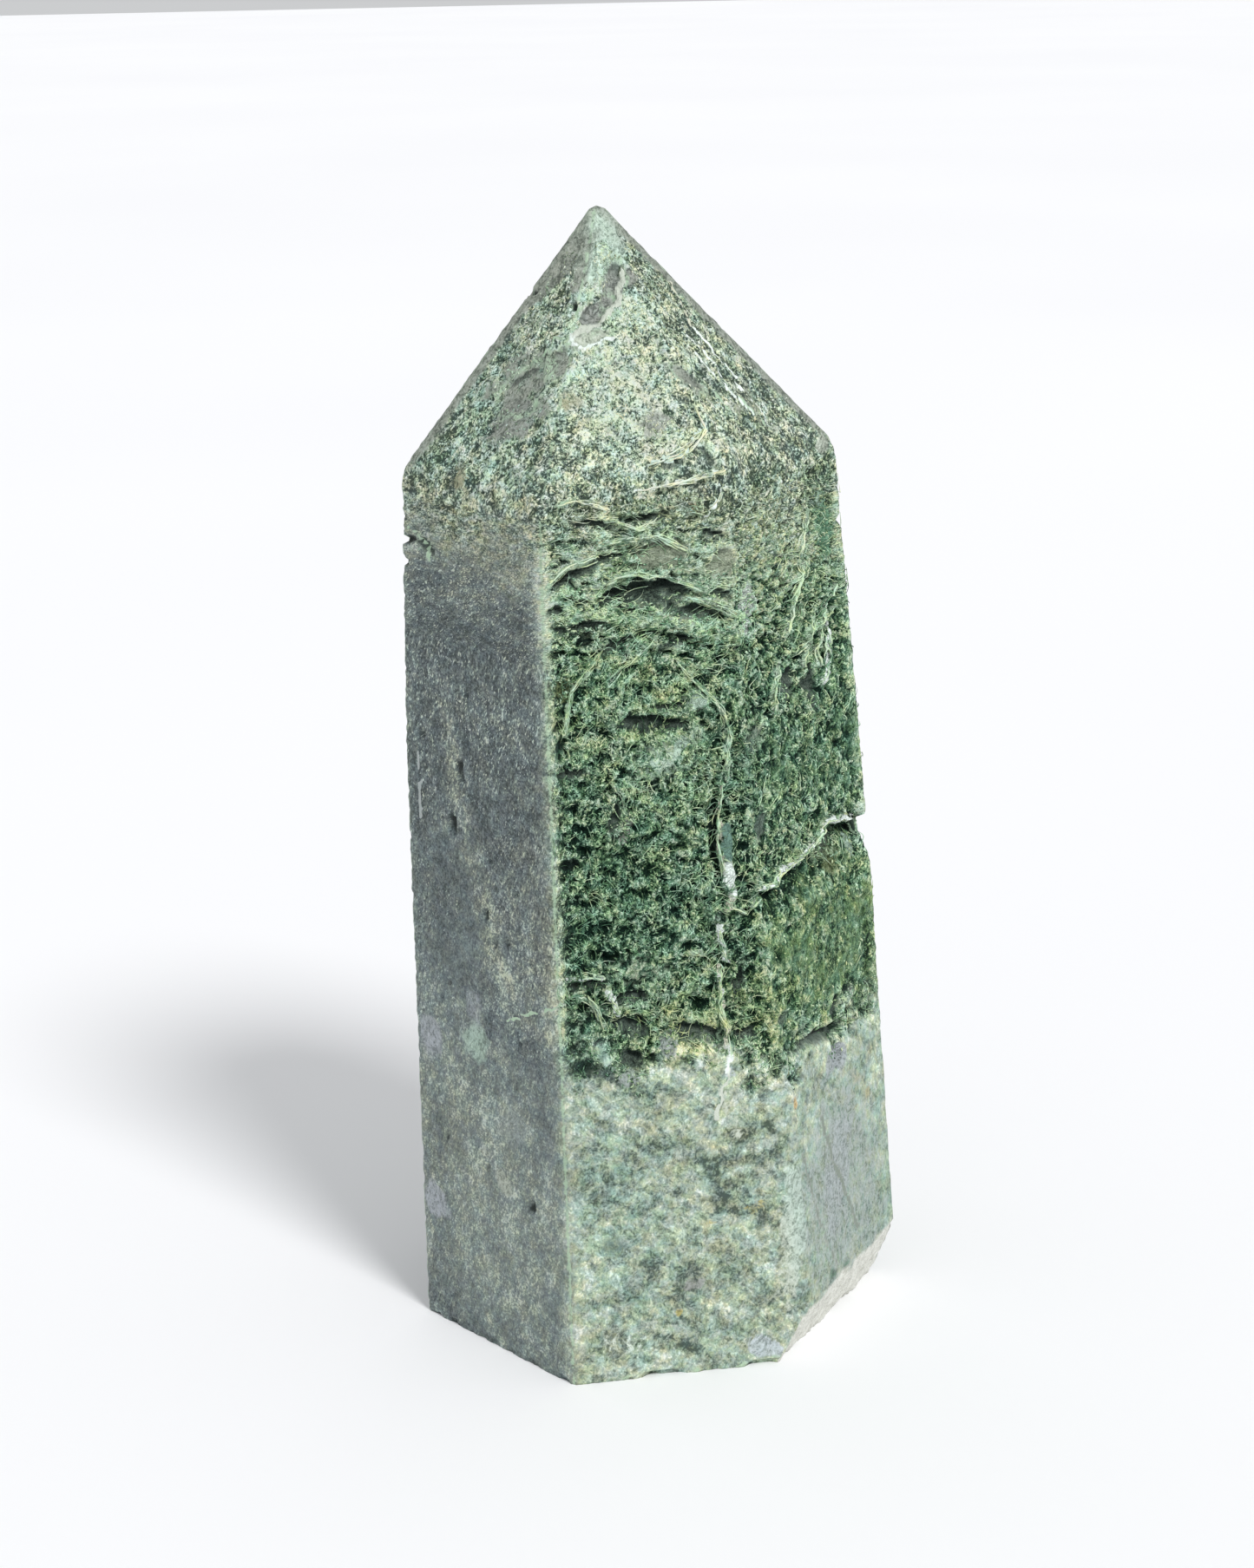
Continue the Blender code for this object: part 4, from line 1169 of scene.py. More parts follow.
def sink_folds(skin):
    """Ragged layers, one above the other, under the shoulder of the front."""
    room = smooth_step(*FOLD_ROOM, skin.edge_room)
    for face, low, high, depth in FOLDS:
        along, height, near = skin.on(face)
        where = np.column_stack((along, np.zeros_like(along), height))
        bend = skin.noise.named("fold_bend", where)
        phase = (height + FOLD_BEND * bend + FOLD_SLOPE * along) / FOLD_STEP
        rise = phase - np.floor(phase)
        grown = skin.noise.named("fold_strength", where * FOLD_SQUASH)
        strength = np.clip(FOLD_STRENGTH + FOLD_UNEVEN * grown, 0, 1)
        band = smooth_step(*FOLD_START, height - low) * smooth_step(*FOLD_END, height - high)
        skin.sink += depth * rise**FOLD_POWER * strength * band * room * near


def gap_form(inside, lift):
    """Depth and painted shade of a gap, which is cut back under its upper lip."""
    depth = inside**GAP_POWER * at_least(GAP_LEAST, smooth_step(*GAP_UNDER_LIP, lift))
    dark = at_least(GAP_LEAST_SHADE, smooth_step(*GAP_SHADE_LIP, lift))
    return depth, smooth_step(*GAP_SHADE, inside) * dark


def open_form(inside, lift):
    """Depth and painted shade of an open hollow, whose floor is lit."""
    dark = OPEN_SHADOW * smooth_step(*OPEN_SHADE, inside) * smooth_step(*OPEN_SHADE_LIP, lift)
    return smooth_step(*OPEN_FLOOR, inside), dark * smooth_step(*OPEN_LIT, inside)


def pit_form(inside, lift):
    """Depth and painted shade of a pit, the same all round."""
    return inside**PIT_POWER, smooth_step(*PIT_SHADE, inside)


HOLLOW_FORMS = {"gap": gap_form, "open": open_form, "pit": pit_form}


def sink_hollows(skin):
    """The hollows, gaps and pits of the table, and the shade painted in them."""
    rough = skin.noise.named("hollow", skin.ground)
    skin.bare, skin.rim, skin.dark, skin.pocket = [skin.nothing() for _ in range(4)]
    for *place, depth, turn, kind in entries(HOLLOWS):
        span, lift, near = skin.within(*place, turn)
        span = span * (1 + RAGGED[kind] * rough)
        inside = np.clip(1 - span, 0, 1)
        form, dark = HOLLOW_FORMS[kind](inside, np.clip(lift, -1, 1))
        # Shade painted inside the hollow, darkest under its upper lip
        skin.dark = np.maximum(skin.dark, dark * near)
        if kind == "gap":
            skin.pocket = np.maximum(skin.pocket, smooth_step(*GAP_POCKET, inside) * near)
        if kind == "open":
            skin.sink = skin.sink * (1 - OPEN_CLEARED * form * near)
            skin.bare = np.maximum(skin.bare, smooth_step(*OPEN_BARE, inside) * near)
        skin.sink = skin.sink + depth * form * near
        if kind in RIM_SHARE:
            ring = np.exp(-(((span - RIM_PLACE) / RIM_WIDTH) ** 2)) * near
            skin.sink -= RIM_RISE * ring
            skin.rim = np.maximum(skin.rim, ring * RIM_SHARE[kind])


def sink_crack(skin):
    """Under the crack's rim the stone is set back, and comes out again lower down; the slit under
    the rim has painted shade.
    """
    along, height, near = skin.on("front_right")
    places, heights, strengths = zip(*CRACK_RIM)
    ragged = skin.noise.named("crack", skin.ground)
    rim = np.interp(along, places, heights) + CRACK_RAGGED * ragged
    strength = np.interp(along, places, strengths, left=0.0) * near
    below = rim - height
    back = smooth_step(*CRACK_TOP, below) * smooth_step(*CRACK_FOOT, below)
    slit = smooth_step(*SLIT_TOP, below) * smooth_step(*SLIT_FOOT, below)
    skin.sink += (CRACK_DEPTH * back + SLIT_DEPTH * slit) * strength
    # Painted shade in the slit
    skin.dark = np.maximum(skin.dark, slit * strength * (SLIT_SHADE + SLIT_UNEVEN * ragged))


def raise_veins(skin):
    """Veins stand a little proud of what is worn away round them."""
    skin.veins = {}
    wave = VEIN_WAVE * skin.noise.push("vein", skin.ground)
    for face, colour, half_width, proud, places in entries(VEINS):
        along, height, near = skin.on(face)
        miss = distance_to_line(along + wave[:, 0], height + wave[:, 1], places)
        line = smooth_step(*VEIN_FADE, miss / half_width) * near
        if face.startswith("back"):
            line = line * HIDDEN_VEINS
        skin.veins[colour] = np.maximum(skin.veins.get(colour, 0.0), line)
        skin.sink = skin.sink * (1 - VEIN_FILL * line) - proud * line


def wear_edges(skin):
    """Small nicks along the edges, an uneven edge to the base, the chip's grain, and pale edges,
    worn and partly a painted highlight.
    """
    noise = skin.noise
    edge = smooth_step(EDGE_WIDTH, 0.0, skin.edge_room)
    nicks = smooth_step(*NICKS_FADE, noise.named("nicks", skin.ground)) * (1 - skin.broken)
    mossy = smooth_step(*SIDE_FADE, skin.zone("back_right")) * skin.moss
    crisp = 1 - MOSSY_EDGE_LOSS * mossy
    skin.sink += edge * crisp * (EDGE_WEAR + EDGE_NICKS * nicks)
    foot = smooth_step(BASE_EDGE, 0.0, skin.ground[:, 2])
    nicks = smooth_step(*BASE_NICKS_FADE, noise.named("base", skin.ground))
    skin.sink += foot * (BASE_WEAR + BASE_NICKS * nicks)
    skin.sink -= skin.broken * CHIP_GRAIN * noise.named("chip_grain", skin.ground)
    # Pale edges on the front left and back faces: wear, and partly a painted highlight
    skin.edge = edge * smooth_step(*SIDE_FADE, skin.zone("front_left", "back"))


def shape_points(skin):
    """Points of the finished surface, kept inside the ground stone."""
    room = smooth_step(0.0, APEX_ROOM, APEX[2] - APEX_WEAR - skin.ground[:, 2])
    skin.sunk = np.clip(skin.sink, -PROUDEST, DEEPEST) * at_least(APEX_LEAST, room)
    points = skin.ground - skin.normals * skin.sunk[:, None]
    points[:, 2] = np.maximum(points[:, 2], 0.0)
    points[: skin.columns, 2] = 0.0
    return points


def spread(skin, values):
    """Values at the rings, carried on to the base and the top."""
    first, last = values[: skin.columns], values[-skin.columns :]
    middle = first.mean(axis=0, keepdims=True)
    crown = last.mean(axis=0, keepdims=True)
    return np.concatenate((middle, *[first] * BASE_RINGS, values, crown))


def skin_faces(skin):
    """Faces between the rings, and round the middles of the base and the top."""
    columns = skin.columns
    step = np.arange(columns)
    following = (step + 1) % columns
    rings = BASE_RINGS + skin.rows
    crown = 1 + rings * columns
    faces = [(0, int(1 + b), int(1 + a)) for a, b in zip(step, following)]
    for ring in range(rings - 1):
        low = 1 + ring * columns
        high = low + columns
        quads = np.column_stack((low + step, low + following, high + following, high + step))
        faces.extend(quads.tolist())
    last = crown - columns
    faces.extend((int(last + a), int(last + b), crown) for a, b in zip(step, following))
    return faces


def add_piece(name, points, faces, layers):
    """A mesh in the scene, with numbers or colours stored for each of its vertices."""
    mesh = bpy.data.meshes.new(name)
    mesh.from_pydata((points * MM).tolist(), [], faces)
    mesh.update()
    mesh.shade_smooth()
    for layer, values in layers.items():
        kind, key = ("FLOAT", "value") if values.ndim == 1 else ("FLOAT_COLOR", "color")
        stored = mesh.attributes.new(layer, kind, "POINT")
        stored.data.foreach_set(key, np.ascontiguousarray(values, dtype=np.float32).reshape(-1))
    piece = bpy.data.objects.new(name, mesh)
    bpy.context.scene.collection.objects.link(piece)
    return piece


def blend_tones(skin):
    """How much lighter or darker, and warmer or cooler, the stone is in broad regions, with
    painted shade in some narrow strips.
    """
    ragged = skin.noise.named("region", skin.ground)
    skin.tone, skin.warm = skin.nothing(), skin.nothing()
    for *region, lighter, warmer in entries(TONES):
        cover = cover_region(skin, ragged, *region)
        skin.tone += lighter * cover
        skin.warm += warmer * cover


def laid_over(colour, name, cover):
    """Colours and their strengths, with one more colour laid over them."""
    cover = cover[:, None]
    return colour * (1 - cover) + np.append(display(COLOURS[name]), 1.0) * cover


def blend_patches(skin):
    """Colour and strength of the patches at each point."""
    ragged = PATCH_RAGGED * skin.noise.named("patch", skin.ground)
    colour = np.zeros((len(skin.ground), 4))
    for *region, name, strength in entries(PATCHES):
        span, _, near = skin.within(*region)
        cover = smooth_step(*PATCH_FADE, span + ragged) * near * strength
        colour = laid_over(colour, name, cover)
    polished = STRIP_STRENGTH * skin.flank * skin.zone("tip")
    polished = np.maximum(polished, PLATE_STRENGTH * skin.plates)
    return straight(laid_over(colour, "brown_grey", polished))


def blend_veins(skin):
    """Colour and strength of the veins at each point."""
    colour = np.zeros((len(skin.ground), 4))
    for name, line in skin.veins.items():
        colour = laid_over(colour, name, line)
    return straight(colour)


def straight(colour):
    """Colours that were weighted by their strength, with the weight taken out."""
    strength = colour[:, 3:]
    plain = np.where(strength > FAINT, colour[:, :3] / np.maximum(strength, FAINT), 0.5)
    return np.concatenate((plain, strength), axis=1)


def display(values):
    """Linear light of a colour given as it looks on a screen, 0 to 255, by the usual
    curve of screens."""
    share = np.array(values) / 255
    return np.where(share <= 0.04045, share / 12.92, ((share + 0.055) / 1.055) ** 2.4)


def mark_rough(skin, depth, veins):
    """Where the stone is rough enough to carry strands."""
    rough = np.maximum(skin.moss, skin.tip * (1 - skin.slate))
    rough = rough * (1 - skin.bare) * (1 - skin.broken) * (1 - skin.calm)
    rough = rough * smooth_step(*STRAND_EDGE, skin.edge_room)
    thread = smooth_step(*THREAD_SHADE, skin.dark) * smooth_step(*THREAD_VEIN, veins)
    crumb = smooth_step(*CRUMB_SHADE, skin.dark) * smooth_step(*CRUMB_VEIN, veins)
    crumb = crumb * smooth_step(*CRUMB_SUNK, depth) * (1 - skin.flank)
    skin.rough = {"thread": rough * thread, "crumb": rough * crumb, "grit": rough * crumb}


def build_stone():
    """The stone's skin, with its relief and all that its material reads."""
    skin = Skin()
    steps = (
        mark_zones, mark_plates, mark_calm, sink_moss, sink_folds, sink_hollows, sink_crack,
        raise_veins, wear_edges,
    )
    for step in steps:
        step(skin)
    points = shape_points(skin)
    shares = np.linspace(BASE_HOLE, 1.0, BASE_RINGS, endpoint=False)
    base = [points[: skin.columns] * (share, share, 0.0) for share in shares]
    everything = np.concatenate(([(0.0, 0.0, 0.0)], *base, points, [CROWN]))
    # How far each place is sunk below its neighbours or raised above them, for painted shade of
    # the relief and for where crumbs lie
    depth = np.clip((skin.sunk - skin.blur(skin.sunk, DEPTH_BLUR)) / DEPTH_SPAN, -1, 1)
    blend_tones(skin)
    veins = blend_veins(skin)
    mark_rough(skin, depth, veins[:, 3])
    sound = 1 - skin.broken
    layers = {
        "moss": skin.moss,
        "slate": skin.slate,
        "granular": skin.tip,
        "relief_shade": depth,
        "bare": skin.bare,
        "rim": skin.rim,
        # Pale edges: wear, and partly a painted highlight
        "worn": skin.edge,
        "broken": skin.broken,
        "tone": skin.tone,
        "warm": skin.warm,
        # Where the stone is sunk deep, for painted shade in the pits
        "pit": smooth_step(*PIT_DEPTHS, skin.sunk) * (1 - skin.bare) * sound,
        # Painted shade of the hollows and of the crack's slit
        "dark": np.clip(skin.dark, 0, 1) * sound,
        "pocket": skin.pocket,
        "calm": skin.calm,
        "patch": blend_patches(skin),
        "vein": veins,
    }
    layers = {name: spread(skin, values) for name, values in layers.items()}
    return add_piece("agate_skin", everything, skin_faces(skin), layers), skin


class Recipe:
    """Short words for joining a material's nodes."""

    def __init__(self, name):
        self.material = bpy.data.materials.new(name)
        self.material.use_nodes = True
        self.tree = self.material.node_tree
        self.shader = self.tree.nodes["Principled BSDF"]

    def node(self, kind, **settings):
        made = self.tree.nodes.new(kind)
        for key, value in settings.items():
            setattr(made, key, value)
        return made

    def feed(self, socket, value):
        """Join a value's socket, or set a plain number or colour."""
        if isinstance(value, bpy.types.NodeSocket):
            self.tree.links.new(value, socket)
        else:
            socket.default_value = value

    def finish(self, **values):
        """Feed the shader's sockets, named with low lines for spaces, and hand over."""
        for name, value in values.items():
            self.feed(self.shader.inputs[name.replace("_", " ")], value)
        return self.material

    def layer(self, name):
        return self.node("ShaderNodeAttribute", attribute_name=name)

    def value(self, name):
        return self.layer(name).outputs["Fac"]

    def places(self):
        """Places on the piece, in millimetres."""
        coordinates = self.node("ShaderNodeTexCoord").outputs["Object"]
        return self.stretch(coordinates, (MM, MM, MM))

    def maths(self, operation, first, second=0.0, third=0.0):
        made = self.node("ShaderNodeMath", operation=operation)
        for socket, value in zip(made.inputs, (first, second, third)):
            self.feed(socket, value)
        return made.outputs[0]

    def times(self, first, *others):
        for other in others:
            first = self.maths("MULTIPLY", first, other)
        return first

    def add(self, *terms):
        """Sum of values, each a socket or a (socket, weight) pair or a number."""
        total = 0.0
        for term in terms:
            if isinstance(term, tuple):
                total = self.maths("MULTIPLY_ADD", term[0], term[1], total)
            else:
                total = self.maths("ADD", total, term)
        return total

    def sway(self, middle, *terms):
        """A middle value, moved up and down by noises that run from 0 to 1."""
        return self.add(*terms, middle - sum(weight for _, weight in terms) / 2)

    def less(self, value, share=1.0):
        """What is left of 1 after a share of a value."""
        return self.add((value, -share), 1.0)

    def remap(self, value, low, high, first=0.0, last=1.0):
        made = self.node("ShaderNodeMapRange", interpolation_type="SMOOTHSTEP")
        for socket, given in zip(made.inputs, (value, low, high, first, last)):
            self.feed(socket, given)
        return made.outputs[0]

    def crisp(self, value, half):
        """A noise with its middle part stretched to run from 0 to 1."""
        return self.remap(value, 0.5 - half, 0.5 + half)

    def noise(self, where, size, detail, roughness, shift=0.0):
        """A noise, its size in the units of the places it is read at."""
        made = self.node("ShaderNodeTexNoise", normalize=True)
        if shift:
            moved = self.node("ShaderNodeVectorMath", operation="ADD")
            self.feed(moved.inputs[0], where)
            moved.inputs[1].default_value = (shift, shift, shift)
            where = moved.outputs[0]
        self.feed(made.inputs["Vector"], where)
        self.feed(made.inputs["Scale"], 1 / size)
        self.feed(made.inputs["Detail"], detail)
        self.feed(made.inputs["Roughness"], roughness)
        return made

    def grown(self, places, where, size, detail, roughness, shift, half):
        """A noise of a table, as it is and with its middle part stretched."""
        raw = self.noise(places[where], size, detail, roughness, shift).outputs[0]
        return raw, self.crisp(raw, half)

    def web(self, where, size, width, turn):
        """Thin winding threads: 1 on a thread and 0 beside it."""
        moved = self.stretch(where, (1.0, 1.0, 1.0), (turn, turn * WEB_TILT, 0.0))
        hill = self.noise(moved, size, *WEB_NOISE).outputs[0]
        slope = self.maths("ABSOLUTE", self.maths("SUBTRACT", hill, 0.5))
        return self.remap(slope, width, width * WEB_CORE)

    def stretch(self, where, scale, turn=(0.0, 0.0, 0.0)):
        """Places turned by some degrees and stretched, so that patterns are too."""
        made = self.node("ShaderNodeMapping", vector_type="TEXTURE")
        self.feed(made.inputs["Vector"], where)
        made.inputs["Rotation"].default_value = [math.radians(angle) for angle in turn]
        made.inputs["Scale"].default_value = scale
        return made.outputs[0]

    def curled(self, where):
        """Places pushed about by a noise, so that patterns wind."""
        offset = self.node("ShaderNodeVectorMath", operation="MULTIPLY_ADD")
        self.feed(offset.inputs[0], self.noise(where, *WARP_NOISE).outputs["Color"])
        offset.inputs[1].default_value = (WARP_PUSH, WARP_PUSH, WARP_PUSH)
        self.feed(offset.inputs[2], where)
        return offset.outputs[0]

    def level(self, place):
        """Height of places."""
        parts = self.node("ShaderNodeSeparateXYZ")
        self.feed(parts.inputs[0], place)
        return parts.outputs["Z"]

    def ramp(self, value, stops):
        made = self.node("ShaderNodeValToRGB")
        self.feed(made.inputs[0], value)
        steps = made.color_ramp.elements
        while len(steps) < len(stops):
            steps.new(0.5)
        for step, (place, colour) in zip(steps, stops):
            step.position = place
            step.color = (*display(colour), 1.0)
        return made.outputs[0]

    def plain(self, name):
        """A colour of the table."""
        return (*display(COLOURS[name]), 1.0)

    def mix(self, share, first, second, blend="MIX"):
        made = self.node("ShaderNodeMix", data_type="RGBA", blend_type=blend)
        colours = [socket for socket in made.inputs if socket.type == "RGBA"]
        self.feed(made.inputs[0], share)
        self.feed(colours[0], first)
        self.feed(colours[1], second)
        return next(socket for socket in made.outputs if socket.type == "RGBA")

    def stained(self, colour, place, share=1.0):
        """A colour made warmer and cooler in small clouds and in broad regions."""
        for name, stops in STAINS.items():
            value = self.grown({"place": place}, *STAIN_GRAINS[name])[1]
            if name == "clouds":
                value = self.sway(0.5, (value, CLOUD_STAIN))
                value = self.add(value, self.value("warm"))
            colour = self.mix(share, colour, self.ramp(value, stops), "MULTIPLY")
        return colour

    def squeezed(self, place):
        """Places drawn out in the folded part of the stone, as on the mesh."""
        low, high = SQUEEZED
        rise = self.node("ShaderNodeSeparateXYZ")
        self.feed(rise.inputs[0], place)
        above = self.maths("MAXIMUM", self.maths("SUBTRACT", rise.outputs["Z"], low), 0.0)
        above = self.maths("MINIMUM", above, high - low)
        drawn = self.node("ShaderNodeCombineXYZ")
        for axis in ("X", "Y"):
            self.feed(drawn.inputs[axis], rise.outputs[axis])
        level = self.maths("MULTIPLY_ADD", above, FOLD_SQUEEZE, rise.outputs["Z"])
        self.feed(drawn.inputs["Z"], level)
        return drawn.outputs[0]

    def bump(self, height, distance):
        """Relief finer than the mesh. The distance is in millimetres."""
        made = self.node("ShaderNodeBump")
        self.feed(made.inputs["Height"], height)
        made.inputs["Distance"].default_value = distance * MM
        return made.outputs[0]


# Noises of the materials: the places they are read at, size in millimetres, detail,
# roughness, shift, and half of the middle part that is stretched to run from 0 to 1

STONE_GRAINS = {
    "clouds": ("place", 3.2, 4.0, 0.6, 0.0, 0.14),
    "shapes": ("curly", 1.5, 5.0, 0.65, 0.0, 0.05),
    "lumps": ("flow", 0.75, 4.0, 0.65, 0.0, 0.07),
    "grains": ("flow", 0.36, 2.0, 0.7, 0.0, 0.08),
    "dust": ("place", 0.19, 1.0, 0.7, 0.0, 0.14),
    "marks": ("brushed", 0.95, 4.0, 0.65, 0.0, 0.06),
    "streaks": ("slanted", 0.8, 3.0, 0.7, 0.0, 0.12),
    "sparse": ("place", 4.5, 3.0, 0.6, 50.0, 0.08),
    "uneven": ("place", 3.0, 3.0, 0.6, 87.0, 0.12),
}
STAIN_GRAINS = {
    "clouds": ("place", 1.7, 5.0, 0.62, 23.0, 0.13),
    "tint": ("place", 0.9, 3.0, 0.7, 71.0, 0.10),
    "blush": ("place", 1.2, 3.0, 0.7, 133.0, 0.10),
}
STRAND_GRAINS = {
    "shapes": ("place", 1.5, 5.0, 0.65, 0.0, 0.08),
    "specks": ("place", 0.3, 2.0, 0.7, 0.0, 0.10),
}
# Flakes and glints of the slate: size, detail, roughness and shift, what part of the
# noise they are, and how they change from a lower to a higher place
FLAKE_NOISE = (0.24, 1.0, 0.5, 0.0)
FLAKE_FADE = (0.64, 0.76)
SLATE_FLAKE_FADE = (0.61, 0.72)
SLATE_FLAKE_HEIGHTS = (8.0, 62.0, 0.3, 1.0)
GLINT_NOISE = (0.40, 0.0, 0.5, 19.0)
GLINT_FADE = (0.68, 0.74)
GLINT_HEIGHTS = (38.0, 54.0, 0.1, 1.0)
GLINT_TONE = 0.55
# Stretches of the places that the noises are read at, and their turns in degrees
FLOW = ((0.72, 0.72, 1.25), (0.0, 22.0, 0.0))
BRUSH = ((1.4, 1.0, 0.75), (0.0, 38.0, 0.0))
SLANT = ((0.45, 0.45, 1.3), (0.0, 24.0, -48.0))
WARP_NOISE = (1.5, 2.0, 0.5)
WARP_PUSH = 1.3
# Webs of thin threads: size, width and turn
WEBS = ((0.9, 0.035, 0.0), (0.7, 0.03, 40.0), (0.55, 0.03, 95.0))
WEB_NOISE = (1.0, 0.5)
WEB_TILT = 0.7
WEB_CORE = 0.2
# How strongly each noise tells in the pattern of each kind of stone
PATTERNS = {
    "moss": {
        "fibre": 0.34, "dust": 0.46, "grains": 0.48, "lumps": 0.36, "shapes": 0.24,
        "clouds": 0.20,
    },
    "plain": {"marks": 0.26, "shapes": 0.12, "lumps": 0.13, "grains": 0.21, "dust": 0.19},
    "point": {"shapes": 0.32, "lumps": 0.38, "grains": 0.60, "dust": 0.74, "flakes": 0.50},
    "slate": {
        "streaks": 0.30, "shapes": 0.16, "grains": 0.20, "dust": 0.42, "slate_flakes": 1.0,
    },
}
# Middle tone, how far clouds move it, and how much painted shade darkens sunk places and lightens
# raised ones
LEVELS = {"moss": (0.58, 0.0, 0.5), "pale": (0.545, 0.2, 0.40), "slate": (0.79, 0.14, 0.5)}
# How much painted shade darkens the deepest pits
PIT_PAINTED_SHADE = 0.30
CALM_QUIET = 0.6
# The moss's pattern is livelier in some places than in others
LIVELY_LEAST = 0.6
LIVELY_MORE = 0.9
SLATE_STAIN_LOSS = 0.5
CLOUD_STAIN = 0.5
# What tears borders into crumbs, and how much it does so at the edges of patches
TORN = {"lumps": 0.6, "grains": 0.4}
PATCH_TORN = {"slate": -0.9, "calm": -0.5}
PATCH_TORN_LEVEL = 1.2
PATCH_EDGE = (0.25, 0.55)
PATCH_FULL = (0.0, 0.3, 0.0, 0.9)
PATCH_GRAIN = {"lumps": 0.35, "grains": 0.35, "dust": 0.30}
RIM_EDGE = (0.42, 0.58)
POCKET_STRENGTH = 0.75
# Other borders: share of the value, share of what tears it, level, the fade, and where
# the value begins to tell
CRUMBLED = {
    # Painted shade of the hollows and of the crack's slit
    "dark": (1.0, 0.8, -0.4, (0.30, 0.75, 0.0, 0.88), (0.05, 0.3)),
    # Pale edges: wear, and partly a painted highlight
    "worn": (0.8, 1.6, -0.8, (0.42, 0.60, 0.0, 0.65), (0.05, 0.3)),
    "vein": (0.9, 1.1, -0.65, (0.38, 0.52), (0.05, 0.4)),
}
CHIP_LUMPS = 0.8
CHIP_PATTERN = {"dust": 0.2, "shapes": 0.1}
CHIP_LEVEL = -0.1
# How rough and how glossy each kind of stone is
ROUGHNESS = {"moss": 0.22, "slate": -0.06, "bare": -0.20, "broken": 0.2}
ROUGHNESS_LUMPS = 0.16
ROUGHNESS_LEVEL = 0.44
GLOSS = {"moss": -0.28, "granular": -0.15}
GLOSS_LEVEL = 0.40
# Relief finer than the mesh
FIBRE_RISE = {"moss": 0.5}
FIBRE_LEVEL = 0.05
GRAIN_RISE = {"moss": 0.8, "granular": 0.5}
GRAIN_LEVEL = 0.3
GRAIN_SHARES = {"grains": 0.9, "dust": 0.5}
LUMP_RISE = 0.4
BUMP_DEPTH = 0.20
# How strongly polished edges and plates take their own colour
STRIP_STRENGTH = 0.62
PLATE_STRENGTH = 0.50

# Colours as they look on a screen, and tones from dark to light

MOSS_RAMP = (
    (0.05, (16, 40, 32)),
    (0.22, (44, 75, 59)),
    (0.38, (76, 108, 86)),
    (0.52, (106, 139, 114)),
    (0.68, (140, 172, 144)),
    (0.84, (180, 208, 180)),
    (0.97, (222, 240, 216)),
)
PALE_RAMP = (
    (0.05, (66, 80, 73)),
    (0.22, (111, 125, 114)),
    (0.38, (143, 157, 144)),
    (0.52, (166, 180, 165)),
    (0.66, (184, 197, 182)),
    (0.82, (207, 218, 204)),
    (0.97, (244, 249, 240)),
)
LOW_RAMP = (
    (0.05, (70, 84, 78)),
    (0.22, (112, 126, 117)),
    (0.38, (143, 156, 146)),
    (0.52, (164, 177, 166)),
    (0.66, (182, 194, 183)),
    (0.82, (206, 216, 204)),
    (0.97, (244, 249, 241)),
)
SLATE_RAMP = (
    (0.05, (53, 64, 66)),
    (0.25, (83, 94, 98)),
    (0.45, (102, 113, 116)),
    (0.62, (119, 131, 132)),
    (0.80, (145, 158, 153)),
    (1.0, (200, 210, 202)),
)
PATCH_RAMP = (
    (0.1, (170, 175, 170)),
    (0.5, (232, 234, 230)),
    (0.9, (255, 255, 255)),
)
POCKET_RAMP = (
    (0.40, (66, 80, 74)),
    (0.60, (112, 126, 114)),
)
CHIP_RAMP = (
    (0.2, (184, 184, 174)),
    (0.5, (220, 221, 212)),
    (0.8, (240, 240, 234)),
)
STRAND_RAMP = (
    (0.0, (36, 66, 52)),
    (0.3, (88, 121, 97)),
    (0.6, (146, 179, 149)),
    (1.0, (224, 242, 218)),
)
CRUMB_RAMP = (
    (0.0, (80, 93, 80)),
    (0.3, (138, 152, 134)),
    (0.6, (190, 204, 184)),
    (1.0, (250, 254, 244)),
)
FLOOR_RAMP = (
    (0.3, (248, 248, 250)),
    (0.7, (251, 251, 252)),
)
# The stains, by their noise: from cooler to warmer
STAINS = {
    "clouds": (
        (0.0, (222, 240, 236)),
        (0.35, (243, 249, 248)),
        (0.65, (252, 251, 243)),
        (1.0, (255, 246, 220)),
    ),
    "tint": (
        (0.0, (246, 251, 255)),
        (1.0, (255, 254, 236)),
    ),
    "blush": (
        (0.0, (247, 255, 251)),
        (1.0, (255, 249, 249)),
    ),
}
COLOURS = {
    "mint": (186, 212, 196),
    "pale_mint": (214, 236, 222),
    "teal": (112, 146, 132),
    "mauve": (154, 157, 154),
    "brown_grey": (156, 162, 153),
    "slate": (98, 114, 106),
    "grey": (166, 176, 174),
    "lilac": (176, 182, 190),
    "beige": (172, 182, 160),
    "olive": (112, 124, 86),
    "ochre": (182, 172, 104),
    "orange": (208, 176, 118),
    "cream": (214, 216, 194),
    "chalk": (204, 212, 198),
    "white": (240, 252, 245),
    "pale_moss": (176, 204, 174),
    "pale_blue": (196, 206, 212),
    "emerald": (62, 116, 86),
    "sea_green": (128, 176, 146),
    "blue_green": (96, 122, 118),
    "streak": (128, 139, 128),
    "sparkle": (255, 255, 255),
    "shade": (22, 36, 32),
}


